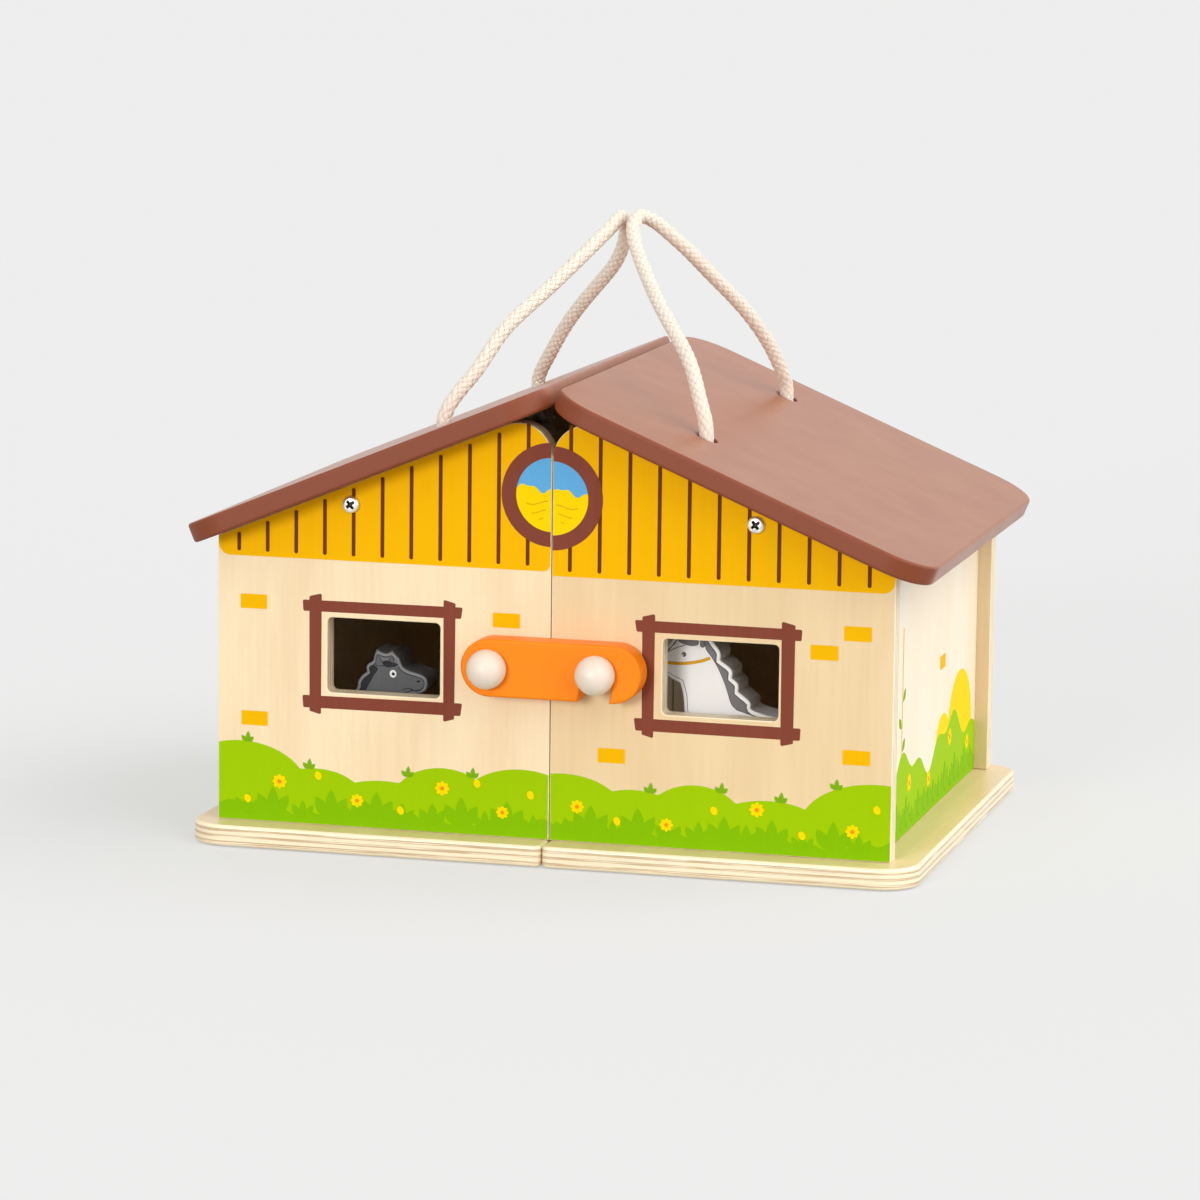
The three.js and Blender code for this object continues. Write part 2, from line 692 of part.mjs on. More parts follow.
const barn = new THREE.Group();
barn.add(
  barnHalf(LEFT),
  barnHalf(RIGHT),
  ...pieces('hinge_pin', hingePins(), steel),
  piece('pivot_knob', latchKnob(LEFT), knobPaint),
  piece('catch_knob', latchKnob(RIGHT), knobPaint),
  piece('latch_hook', latchHook(), orangePaint),
  piece('grey_horse', horse(LEFT, greyOutlineShares, greyLength, greyHeight, greyRumpGap), greyPaint),
  piece('white_horse', horse(RIGHT, whiteOutlineShares, whiteLength, whiteHeight, whiteRumpGap), whitePaint),
);

// The origin lies on the floor, midway between the knobs' fronts and the base's back edge
barn.position.y = -(knobFront + baseBack) / 2;

const toy = new THREE.Group();
toy.add(barn);

export default toy;
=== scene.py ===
"""The looks of a wooden carry-along toy barn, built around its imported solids.

Two printed plywood halves stand closed on a pale studio floor, held by an orange hook on two cream
knobs, with two loops of braided cotton rope through the roof. Shapes are worked out in millimetres,
x to the right, y from the front wall's face to the back, heights from the top of the base boards,
and become metres of the row frame when their mesh is made.
"""

import logging
import math
from collections.abc import Callable, Sequence
from dataclasses import dataclass
from enum import Enum

import bpy
import numpy as np
from mathutils import Matrix, Vector
from mathutils.geometry import tessellate_polygon


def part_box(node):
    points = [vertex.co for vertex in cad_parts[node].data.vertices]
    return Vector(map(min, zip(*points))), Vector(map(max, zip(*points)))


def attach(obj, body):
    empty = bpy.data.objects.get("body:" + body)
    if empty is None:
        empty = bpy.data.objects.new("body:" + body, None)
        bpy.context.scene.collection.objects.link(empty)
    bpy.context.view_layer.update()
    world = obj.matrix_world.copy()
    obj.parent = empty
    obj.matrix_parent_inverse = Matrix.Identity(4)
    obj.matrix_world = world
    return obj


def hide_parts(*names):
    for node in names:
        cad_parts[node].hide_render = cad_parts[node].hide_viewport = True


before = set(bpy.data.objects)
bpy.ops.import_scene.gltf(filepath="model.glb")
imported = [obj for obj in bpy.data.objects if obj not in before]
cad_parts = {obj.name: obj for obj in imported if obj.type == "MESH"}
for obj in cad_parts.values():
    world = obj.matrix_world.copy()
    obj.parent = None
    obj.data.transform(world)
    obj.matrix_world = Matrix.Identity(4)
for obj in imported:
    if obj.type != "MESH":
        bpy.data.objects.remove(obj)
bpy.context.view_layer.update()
log = logging.getLogger("toy_barn")

MM = 0.001
ARC_STEP = math.radians(7.5)
FULL_TURN = 2 * math.pi
QUARTER_TURN = math.pi / 2
CLOSE = 1e-6
SHARP_ANGLE = math.radians(38)
TREE_STEP = (37.0, 211.0, 5.3)
SPLINE_STEPS = 96
EDGE_GAIN = 2.2
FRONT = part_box("left_front_wall")[0].y / MM
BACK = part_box("left_back_wall")[1].y / MM
BASE_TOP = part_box("left_base")[1].z / MM

Pair = tuple[float, float]
Pairs = tuple[Pair, ...]
Triple = tuple[float, float, float]
Triples = tuple[Triple, ...]
Corner = Triple
Box = tuple[float, float, float, float]
Colour = tuple[float, float, float, float]
Array = np.ndarray


class Side(Enum):
    """The two halves of the barn, each with the sign of X where it lies."""

    LEFT = -1
    RIGHT = 1

    @property
    def word(self) -> str:
        """The side's name as the nodes spell it."""
        return self.name.lower()

    @property
    def body(self) -> str:
        """The moving body that this half is."""
        return f"{self.word}_half"


def srgb(red: int, green: int, blue: int) -> Colour:
    """A colour from its three screen values of 0 to 255, as a shader's linear numbers."""
    shares = np.array([red, green, blue]) / 255
    linear = np.where(shares <= 0.04045, shares / 12.92, ((shares + 0.055) / 1.055) ** 2.4)
    return (*(float(value) for value in linear), 1.0)


def unit(vectors: Array) -> Array:
    """Vectors scaled to length one along the last axis."""
    return vectors / np.maximum(np.linalg.norm(vectors, axis=-1, keepdims=True), 1e-12)


def even_angles(count: int) -> Array:
    """Angles spread evenly over one turn."""
    return np.arange(count) * FULL_TURN / count


def on_circle(angles: Array, radius: Array | float = 1.0) -> Array:
    """Points at angles about the origin, all at one radius or each at its own."""
    return np.column_stack([radius * np.cos(angles), radius * np.sin(angles)])


def travelled(points: Array) -> Array:
    """The distance along a row of points up to each of them."""
    return np.concatenate([[0], np.cumsum(np.linalg.norm(np.diff(points, axis=0), axis=1))])


def rings(rows: int, columns: int, first: int = 0) -> tuple[Array, Array]:
    """The numbers of points that lie in closed rings, and of the next point round for each."""
    index = first + np.arange(rows * columns).reshape(rows, columns)
    return index, np.roll(index, -1, axis=1)


def swung(along: Array, across: Array, turn: float) -> Array:
    """Points at distances along and across a direction, which lies at an angle from x."""
    cos, sin = math.cos(turn), math.sin(turn)
    return np.column_stack([along * cos - across * sin, along * sin + across * cos])


# Outlines


@dataclass(frozen=True)
class Outline:
    """A closed outline in a plane, run anticlockwise round the material.

    Side i goes from point i to the next one, and has the outward normal at its start and its end.
    lean moves each point sideways for each millimetre of height in a board that carries it.
    """

    points: Array
    starts: Array
    ends: Array
    lean: Array

    @classmethod
    def through(cls, points: Array, normals: Array) -> "Outline":
        """An outline through points, smooth where a normal is given, sharp where there is none.

        Args:
            points: the corners, n by 2.
            normals: the outward normals there, n by 2, or not a number at a sharp corner.

        Returns:
            The outline, whose flat sides keep the normal of their own direction.
        """
        sides = np.roll(points, -1, axis=0) - points
        flat = unit(np.stack([sides[:, 1], -sides[:, 0]], axis=1))
        sharp = np.isnan(normals[:, :1])
        starts = np.where(sharp, flat, normals)
        ends = np.where(np.roll(sharp, -1, axis=0), flat, np.roll(normals, -1, axis=0))
        return cls(points, starts, ends, np.zeros_like(points))

    @classmethod
    def rounded(cls, corners: Sequence[Corner]) -> "Outline":
        """An outline through corners of x, y and radius, each one a true arc.

        An arc of radius r in a corner of angle c starts r / tan(c / 2) before the corner and has
        its centre r / sin(c / 2) from it, along the middle between the two sides.
        """
        places = np.array([corner[:2] for corner in corners], float)
        back = unit(np.roll(places, 1, axis=0) - places)
        onward = unit(np.roll(places, -1, axis=0) - places)
        points, normals = [], []
        for here, before, after, (_, _, radius) in zip(places, back, onward, corners):
            if radius == 0:
                points.append(here[None])
                normals.append(np.full((1, 2), np.nan))
                continue
            half = math.acos(float(np.clip(before @ after, -1, 1))) / 2
            centre = here + unit(before + after) * radius / math.sin(half)
            start = here + before * radius / math.tan(half) - centre
            sense = 1 if before[0] * after[1] - before[1] * after[0] < 0 else -1
            sweep = math.pi - 2 * half
            steps = max(2, math.ceil(sweep / ARC_STEP))
            angles = math.atan2(start[1], start[0]) + sense * np.linspace(0, sweep, steps + 1)
            ring = on_circle(angles)
            points.append(centre + radius * ring)
            normals.append(sense * ring)
        return cls.through(np.concatenate(points), np.concatenate(normals))

    @classmethod
    def curve(cls, points: Array, sharp: Sequence[int] = ()) -> "Outline":
        """An outline through close points, turned anticlockwise, smooth but for the sharp ones."""
        normals = np.roll(points, -1, axis=0) - np.roll(points, 1, axis=0)
        normals = unit(np.stack([normals[:, 1], -normals[:, 0]], axis=1))
        normals[list(sharp)] = np.nan
        following = np.roll(points, -1, axis=0)
        area = (points[:, 0] * following[:, 1] - points[:, 1] * following[:, 0]).sum()
        if area < 0:
            points, normals = points[::-1], -normals[::-1]
        return cls.through(points, normals)

    @classmethod
    def between(cls, first: Array, second: Array) -> "Outline":
        """The area between two lines that run the same way, with corners at their ends."""
        count = len(first)
        return cls.curve(np.concatenate([first, second[::-1]]), [0, count - 1, count, -1])

    @classmethod
    def ellipse(
        cls, x: float, y: float, wide: float, high: float, turn: float = 0.0, steps: int = 24
    ) -> "Outline":
        """An ellipse of half sizes wide and high about (x, y), turned by an angle."""
        angles = even_angles(steps)
        return cls.curve(swung(wide * np.cos(angles), high * np.sin(angles), turn) + (x, y))

    @classmethod
    def flowing(cls, knots: Array, sharp: Sequence[int] = (), steps: int = 5) -> "Outline":
        """A smooth closed curve through knots, with a corner at each sharp one.

        Between knots p and q, with tangents a and b, the point at t is the Hermite cubic
        (2t^3 - 3t^2 + 1) p + (t^3 - 2t^2 + t) a + (3t^2 - 2t^3) q + (t^3 - t^2) b.
        """
        before, after = np.roll(knots, 1, axis=0), np.roll(knots, -1, axis=0)
        leave = (after - before) / 2
        arrive = leave.copy()
        corners = list(sharp)
        leave[corners] = (after - knots)[corners]
        arrive[corners] = (knots - before)[corners]
        t = (np.arange(steps) / steps)[None, :, None]
        here, there = knots[:, None], after[:, None]
        out, into = leave[:, None], np.roll(arrive, -1, axis=0)[:, None]
        points = (
            (2 * t**3 - 3 * t**2 + 1) * here + (t**3 - 2 * t**2 + t) * out
            + (3 * t**2 - 2 * t**3) * there + (t**3 - t**2) * into
        )
        return cls.curve(points.reshape(-1, 2), [index * steps for index in corners])

    @property
    def mitres(self) -> Array:
        """The way each point moves when both of its sides move outward by one."""
        before = np.roll(self.ends, 1, axis=0)
        both = before + self.starts
        return both / (1 + (before * self.starts).sum(1, keepdims=True))

    def grown(self, distance: float) -> "Outline":
        """The outline with every side moved outward by a distance."""
        return Outline(self.points + distance * self.mitres, self.starts, self.ends, self.lean)

    def inset(self, distance: float) -> "Outline":
        """The outline moved inward, without the points that come too near another of its sides."""
        nearest = 0.93 * distance
        points = self.points - distance * self.mitres
        run = np.roll(self.points, -1, axis=0) - self.points
        away = points[:, None] - self.points
        share = np.clip((away * run).sum(2) / (run**2).sum(1), 0, 1)
        gap = np.linalg.norm(away - share[:, :, None] * run, axis=2).min(1)
        return Outline.curve(points[gap > nearest])

    def leaning(self, x: float, y: float, which: Array | slice = slice(None)) -> "Outline":
        """The outline whose named points lean by (x, y) for each millimetre of height."""
        lean = self.lean.copy()
        lean[which] = (x, y)
        return Outline(self.points, self.starts, self.ends, lean)

    def mirrored(self) -> "Outline":
        """The outline as it is seen from behind."""
        return Outline.curve(self.points * np.array([-1, 1]))

    def as_hole(self) -> "Outline":
        """The same outline as the edge of a hole, run clockwise."""
        count = len(self.points)
        sides = (count - 2 - np.arange(count)) % count
        return Outline(self.points[::-1], -self.ends[sides], -self.starts[sides], self.lean[::-1])


def mirrored(corners: Sequence[Corner]) -> list[Corner]:
    """Corners mirrored in x and run the other way."""
    return [(-x, y, radius) for x, y, radius in reversed(corners)]


def on_side(side: Side, corners: Sequence[Corner]) -> list[Corner]:
    """Corners given for the right half, on the side that is asked for."""
    return list(corners) if side is Side.RIGHT else mirrored(corners)


def rectangle(
    left: float, bottom: float, right: float, top: float, radius: float = 0.0
) -> list[Corner]:
    """The corners of an upright rectangle, anticlockwise, in any order of its two sides."""
    left, right = min(left, right), max(left, right)
    spots = ((left, bottom), (right, bottom), (right, top), (left, top))
    return [(x, y, radius) for x, y in spots]


def centred(x: float, y: float, wide: float, high: float, radius: float = 0.0) -> list[Corner]:
    """The corners of an upright rectangle about its middle."""
    return rectangle(x - wide / 2, y - high / 2, x + wide / 2, y + high / 2, radius)


# Meshes


@dataclass(frozen=True)
class Place:
    """Where a shape's own axes point in the row frame, and its origin there in millimetres."""

    x_axis: Triple = (1, 0, 0)
    y_axis: Triple = (0, 1, 0)
    z_axis: Triple = (0, 0, 1)
    origin: Triple = (0, 0, 0)

    @property
    def axes(self) -> Array:
        """The three axes as the rows of a matrix."""
        return np.array([self.x_axis, self.y_axis, self.z_axis], float)

    def points(self, local: Array) -> Array:
        """Points of the shape in the row frame."""
        return local @ self.axes + np.array(self.origin)

    def moved(self, x: float, y: float, z: float) -> "Place":
        """The same place with its origin moved along its own axes."""
        origin = self.points(np.array([x, y, z], float))
        return Place(self.x_axis, self.y_axis, self.z_axis, tuple(float(value) for value in origin))


def facing_front(y: float) -> Place:
    """Upright, with its face towards the viewer, at a distance behind the front."""
    return Place((1, 0, 0), (0, 0, 1), (0, -1, 0), (0, FRONT + y, BASE_TOP))


def facing_back(y: float) -> Place:
    """Upright, with its face towards the back. Its x runs from right to left of the barn."""
    return Place((-1, 0, 0), (0, 0, 1), (0, 1, 0), (0, FRONT + y, BASE_TOP))


def add_object(name: str, data: bpy.types.ID) -> bpy.types.Object:
    """A new object with the given data, linked to the scene."""
    made = bpy.data.objects.new(name, data)
    bpy.context.scene.collection.objects.link(made)
    return made


class Shell:
    """Closed surfaces being put together from whole arrays, in the shape's own frame."""

    def __init__(self) -> None:
        lists: tuple[list[Array], ...] = ([], [], [], [])
        self.places, self.faces, self.normals, self.rims = lists
        self.count = 0

    def attach(self, places: Array, groups: Sequence[tuple[Array, Array, Array | None]]) -> None:
        """Adds several groups of faces on one set of new points.

        Args:
            places: the points, n by 3.
            groups: for each one the points that each face joins, the normal at each corner, and
                there the way along a board's edge, the share across it and how much the corner
                belongs to the edge, all zero where left out.
        """
        for faces, normals, rims in groups:
            self.faces.append(faces + self.count)
            self.normals.append(normals)
            self.rims.append(np.zeros_like(normals) if rims is None else rims)
        self.places.append(places)
        self.count += len(places)

    def join(self, other: "Shell", place: Place = Place()) -> None:
        """Adds another shell, moved to a place in this one's frame."""
        for faces, normals, rims in zip(other.faces, other.normals, other.rims):
            self.faces.append(faces + self.count)
            self.normals.append(normals @ place.axes)
            self.rims.append(rims)
        self.places.extend(place.points(places) for places in other.places)
        self.count += other.count

    def make(
        self, name: str, place: Place = Place(), grain: "Grain | None" = None,
        own_normals: bool = True,
    ) -> bpy.types.Object:
        """The mesh object, in metres of the row frame.

        Args:
            name: the piece's name.
            place: where the shape's own frame lies.
            grain: how wood grain runs in the shape, where it has any.
            own_normals: whether the worked out normals are kept, or found from the faces.

        Returns:
            The object, linked to the scene, with its place in its mesh.
        """
        local = np.concatenate(self.places)
        faces = [face for group in self.faces for face in group.tolist()]
        mesh = bpy.data.meshes.new(name)
        mesh.from_pydata((place.points(local) * MM).tolist(), [], faces)
        mesh.polygons.foreach_set("use_smooth", np.ones(len(faces), bool))
        if own_normals:
            corners = np.concatenate([group.reshape(-1, 3) for group in self.normals])
            mesh.normals_split_custom_set(unit(corners @ place.axes).tolist())
        else:
            mesh.set_sharp_from_angle(angle=SHARP_ANGLE)
        if grain is not None:
            rims = np.concatenate([group.reshape(-1, 3) for group in self.rims])
            layers = (("grain", "POINT", grain.of(local)), ("rim", "CORNER", rims))
            for kind, domain, values in layers:
                layer = mesh.attributes.new(kind, "FLOAT_VECTOR", domain)
                layer.data.foreach_set("vector", values.astype(np.float32).ravel())
        return add_object(name, mesh)


@dataclass(frozen=True)
class Grain:
    """How wood grain runs in a shape: along its axis 1 or 2, and where in the tree it was."""

    axis: int
    cut: float

    def of(self, local: Array) -> Array:
        """Places in the wood in millimetres: across the grain, along it and into the board."""
        return local[:, [0, self.axis, 3 - self.axis]] + self.cut * np.array(TREE_STEP)


def cap(outlines: Sequence[Array], offsets: Sequence[int], upward: bool) -> Array:
    """Triangles that fill the first outline but for the holes that the others make."""
    loops = [[Vector((x, y, 0)) for x, y in points] for points in outlines]
    flat = np.concatenate(outlines)
    index = np.concatenate([
        offset + np.arange(len(points)) for points, offset in zip(outlines, offsets)
    ])
    found = np.array(tessellate_polygon(loops))
    a, b, c = (flat[found[:, corner]] for corner in range(3))
    turn = (b[:, 0] - a[:, 0]) * (c[:, 1] - a[:, 1]) - (b[:, 1] - a[:, 1]) * (c[:, 0] - a[:, 0])
    found = np.where(((turn > 0) == upward)[:, None], found, found[:, ::-1])
    return index[found[np.abs(turn) > 1e-9]]


def board(
    outlines: Sequence[Outline], thickness: float, arris: float = 0.0, bands: int = 4
) -> Shell:
    """A flat board from its outline and the outlines of its holes, about its middle plane.

    Each outline is carried round a profile. With a the arris radius and f falling from 90 to -90
    degrees, a point goes inward by a (1 - cos f) and lies at the height +-(T / 2 - a) + a sin f.

    Args:
        outlines: the outer outline, then the holes.
        thickness: the board's thickness T.
        arris: the radius of its eased edges.
        bands: how many bands make up one eased edge.

    Returns:
        The closed shell.
    """
    bend = np.linspace(QUARTER_TURN, 0, bands + 1) if arris else np.zeros(1)
    bend = np.concatenate([bend, -bend[::-1]])
    signs = np.repeat([1.0, -1.0], len(bend) // 2)
    heights = signs * (thickness / 2 - arris) + arris * np.sin(bend)
    insets = arris * (1 - np.cos(bend))
    shell = Shell()
    places, groups, tops, bottoms, offsets = [], [], [], [], []
    offset = 0
    for outline in outlines:
        count = len(outline.points)
        flat = outline.points - insets[:, None, None] * outline.mitres
        flat = flat + heights[:, None, None] * outline.lean
        level = np.broadcast_to(heights[:, None, None], (len(bend), count, 1))
        places.append(np.concatenate([flat, level], axis=2).reshape(-1, 3))
        index, after = rings(len(bend), count, offset)
        quads = np.stack([index[1:], after[1:], after[:-1], index[:-1]], axis=2)

        def normal(ends: Array) -> Array:
            """Normals of the profile's rings on one end of every side."""
            slant = (ends * outline.lean).sum(1)
            across = np.cos(bend)[:, None, None] * ends
            up = np.sin(bend)[:, None] - np.cos(bend)[:, None] * slant
            return np.concatenate([across, up[:, :, None]], axis=2)

        begin, finish = normal(outline.starts), normal(outline.ends)
        normals = np.stack([begin[1:], finish[1:], finish[:-1], begin[:-1]], axis=2)
        run = np.linalg.norm(np.roll(outline.points, -1, axis=0) - outline.points, axis=1)
        reach = np.cumsum(run)
        share = heights / thickness + 0.5
        edge = np.clip(EDGE_GAIN * np.cos(bend), 0, 1) if arris else np.ones(len(bend))

        def rim(along: Array) -> Array:
            """Edge values of the profile's rings at one end of every side."""
            grid = np.ones((len(bend), count))
            return np.stack([grid * along, grid * share[:, None], grid * edge[:, None]], axis=2)

        here, there = rim(reach - run), rim(reach)
        rims = np.stack([here[1:], there[1:], there[:-1], here[:-1]], axis=2)
        groups.append((quads.reshape(-1, 4), normals.reshape(-1, 4, 3), rims.reshape(-1, 4, 3)))
        tops.append(flat[0])
        bottoms.append(flat[-1])
        offsets.append(offset)
        offset += len(bend) * count
    ends = [at + (len(bend) - 1) * len(line.points) for at, line in zip(offsets, outlines)]
    for lines, starts, up in ((tops, offsets, 1), (bottoms, ends, -1)):
        triangles = cap(lines, starts, up > 0)
        face = np.zeros((len(triangles), 3, 3))
        face[:, :, 2] = up
        groups.append((triangles, face, None))
    shell.attach(np.concatenate(places), groups)
    return shell


def turned(
    profile: Outline, sides: int, carve: Callable[[Array], Array] | None = None
) -> Shell:
    """A turned body: a half section of radius r and height h carried round the z axis.

    The point at angle a is (r cos a, r sin a, h). Sides of the section that lie on the axis make
    no faces, and its points on the axis stay single.

    Args:
        profile: the closed half section, anticlockwise, with r as x and h as y.
        sides: how many steps make up the turn.
        carve: how much deeper each point lies than the section says, where it is carved.

    Returns:
        The closed shell.
    """
    around = on_circle(even_angles(sides))
    on_axis = profile.points[:, 0] < CLOSE
    sizes = np.where(on_axis, 1, sides)
    firsts = np.concatenate([[0], np.cumsum(sizes)[:-1]])
    rows = [
        first + (np.zeros(sides, int) if single else np.arange(sides))
        for first, single in zip(firsts, on_axis)
    ]
    places = np.concatenate([
        np.column_stack([r * around[:size], np.full(size, h)])
        for (r, h), size in zip(profile.points, sizes)
    ])
    depth = np.zeros(len(places)) if carve is None else carve(places)
    marks = np.column_stack([np.zeros((len(places), 2)), np.abs(depth)])
    groups = []
    for index in range(len(rows)):
        after = (index + 1) % len(rows)
        if on_axis[index] and on_axis[after]:
            continue
        here, there = rows[index], rows[after]
        corners = np.stack([here, np.roll(here, -1), np.roll(there, -1), there], axis=1)
        begin, finish = (
            np.column_stack([r * around, np.full(sides, h)])
            for r, h in (profile.starts[index], profile.ends[index])
        )
        normals = np.stack([begin, np.roll(begin, -1, 0), np.roll(finish, -1, 0), finish], axis=1)
        keep = [0, 2, 3] if on_axis[index] else [0, 1, 3] if on_axis[after] else [0, 1, 2, 3]
        groups.append((corners[:, keep], normals[:, keep], marks[corners[:, keep]]))
    shell = Shell()
    shell.attach(places - depth[:, None] * np.array([0, 0, 1]), groups)
    return shell


def smooth_step(values: Array, low: float, high: float) -> Array:
    """Zero below low, one above high, and 3t^2 - 2t^3 between them."""
    t = np.clip((values - low) / (high - low), 0, 1)
    return t * t * (3 - 2 * t)


# Paths and braided rope


def even_path(knots: Array, spacing: float) -> Array:
    """Points at even steps along the natural cubic spline through knots.

    The spline runs over the chord lengths of its knots. Its second differences m solve the usual
    rows h0 m0 + 2 (h0 + h1) m1 + h1 m2 = 6 (d1 - d0), with nothing at the two ends.

    Args:
        knots: the points to pass through, n by 3.
        spacing: about how far apart the returned points lie.

    Returns:
        The points, in order.
    """
    chord = np.linalg.norm(np.diff(knots, axis=0), axis=1)
    where = np.concatenate([[0], np.cumsum(chord)])
    slope = np.diff(knots, axis=0) / chord[:, None]
    rows = np.eye(len(knots))
    inner = np.arange(1, len(knots) - 1)
    rows[inner, inner - 1] = chord[:-1]
    rows[inner, inner] = 2 * (chord[:-1] + chord[1:])
    rows[inner, inner + 1] = chord[1:]
    target = np.zeros_like(knots)
    target[1:-1] = 6 * np.diff(slope, axis=0)
    bend = np.linalg.solve(rows, target)
    fine = np.linspace(0, where[-1], SPLINE_STEPS * len(knots))
    left = np.clip(np.searchsorted(where, fine, "right") - 1, 0, len(chord) - 1)
    h = chord[left][:, None]
    a = (where[left + 1] - fine)[:, None]
    b = (fine - where[left])[:, None]
    line = (
        (a**3 * bend[left] + b**3 * bend[left + 1]) / (6 * h)
        + (knots[left] / h - bend[left] * h / 6) * a
        + (knots[left + 1] / h - bend[left + 1] * h / 6) * b
    )
    travel = travelled(line)
    marks = np.linspace(0, travel[-1], max(2, round(travel[-1] / spacing)) + 1)
    return np.stack([np.interp(marks, travel, line[:, axis]) for axis in range(3)], axis=1)


@dataclass(frozen=True)
class Braid:
    """A round braid of two families of strands that wind in opposite senses.

    At angle a and distance s the families count u = n (a + k s) and v = n (a - k s) in strands.
    Where floor(u) + floor(v) is even the first family lies on top, and otherwise the second. The
    strand on top rises as sin(pi frac(u))^p across itself and sinks where it dives under. Sway and
    wobble are sizes and lengths, in millimetres, of the braid's small unevenness.
    """

    radius: float
    strands: int = 6
    pitch: float = 23.0
    relief: float = 0.36
    around: int = 56
    sway: Pair = (0.6, 4.7)
    wobble: Pair = (0.35, 1.9)
    crown: float = 0.7
    dive: float = 0.6
    lowest: float = 0.35
    tip: float = 0.75

    def tube(self, path: Array, squeeze: float = 1.0) -> Shell:
        """The braid along a path, closed at both ends.

        Args:
            path: the centre line, at even steps.
            squeeze: the share of its full thickness that it has here.

        Returns:
            The shell, whose edge values hold the place across a strand, along it, and the height.
        """
        ahead = unit(np.gradient(path, axis=0))
        sideways = np.array([1.0, 0.0, 0.0])
        right = unit(sideways - (ahead @ sideways)[:, None] * ahead)
        up = np.cross(ahead, right)
        travel = travelled(path)
        s, a = np.meshgrid(travel, even_angles(self.around), indexing="ij")
        (sway, long), (wobble, short) = self.sway, self.wobble
        worn = s + sway * np.sin(s / long) + wobble * np.sin(s / short + 2 * a)
        u = self.strands * (a / FULL_TURN + worn / self.pitch)
        v = self.strands * (a / FULL_TURN - worn / self.pitch)
        first = (np.floor(u) + np.floor(v)) % 2 == 0
        across, along = np.where(first, u % 1, v % 1), np.where(first, v % 1, u % 1)
        bridge = self.lowest + (1 - self.lowest) * np.sin(math.pi * along) ** self.dive
        height = np.sin(math.pi * across) ** self.crown * bridge
        ends = smooth_step(np.minimum(s, travel[-1] - s), 0, self.relief)
        taper = squeeze * (self.tip + (1 - self.tip) * ends)
        radius = taper * (self.radius - self.relief * (1 - height))
        ring = np.cos(a)[:, :, None] * right[:, None] + np.sin(a)[:, :, None] * up[:, None]
        places = path[:, None] + radius[:, :, None] * ring
        rows, columns = s.shape
        index, after = rings(rows, columns)
        quads = np.stack([index[:-1], after[:-1], after[1:], index[1:]], axis=2).reshape(-1, 4)
        marks = np.stack([across, along, height], axis=2).reshape(-1, 3)
        shell = Shell()
        poles = np.array([[rows * columns], [rows * columns + 1]])
        caps = np.concatenate([
            np.stack([after[0], index[0], np.full(columns, poles[0, 0])], axis=1),
            np.stack([index[-1], after[-1], np.full(columns, poles[1, 0])], axis=1),
        ])
        all_marks = np.concatenate([marks, np.zeros((2, 3))])
        shell.attach(np.concatenate([places.reshape(-1, 3), path[[0]], path[[-1]]]), [
            (quads, np.ones((len(quads), 4, 3)), all_marks[quads]),
            (caps, np.ones((len(caps), 3, 3)), all_marks[caps]),
        ])
        return shell


# Shader building


Socket = bpy.types.NodeSocket


class Signal:
    """A number in a material, with the operators that let shader maths read as sums."""

    def __init__(self, shader: "Shader", socket: Socket) -> None:
        self.shader, self.socket = shader, socket

    def __add__(self, other: "Number") -> "Signal":
        """This number plus another."""
        return self.shader.math("ADD", self, other)

    def __sub__(self, other: "Number") -> "Signal":
        """This number less another."""
        return self.shader.math("SUBTRACT", self, other)

    def __rsub__(self, other: "Number") -> "Signal":
        """Another number less this one."""
        return self.shader.math("SUBTRACT", other, self)

    def __mul__(self, other: "Number") -> "Signal":
        """This number times another."""
        return self.shader.math("MULTIPLY", self, other)

    __radd__, __rmul__ = __add__, __mul__


Number = Signal | float


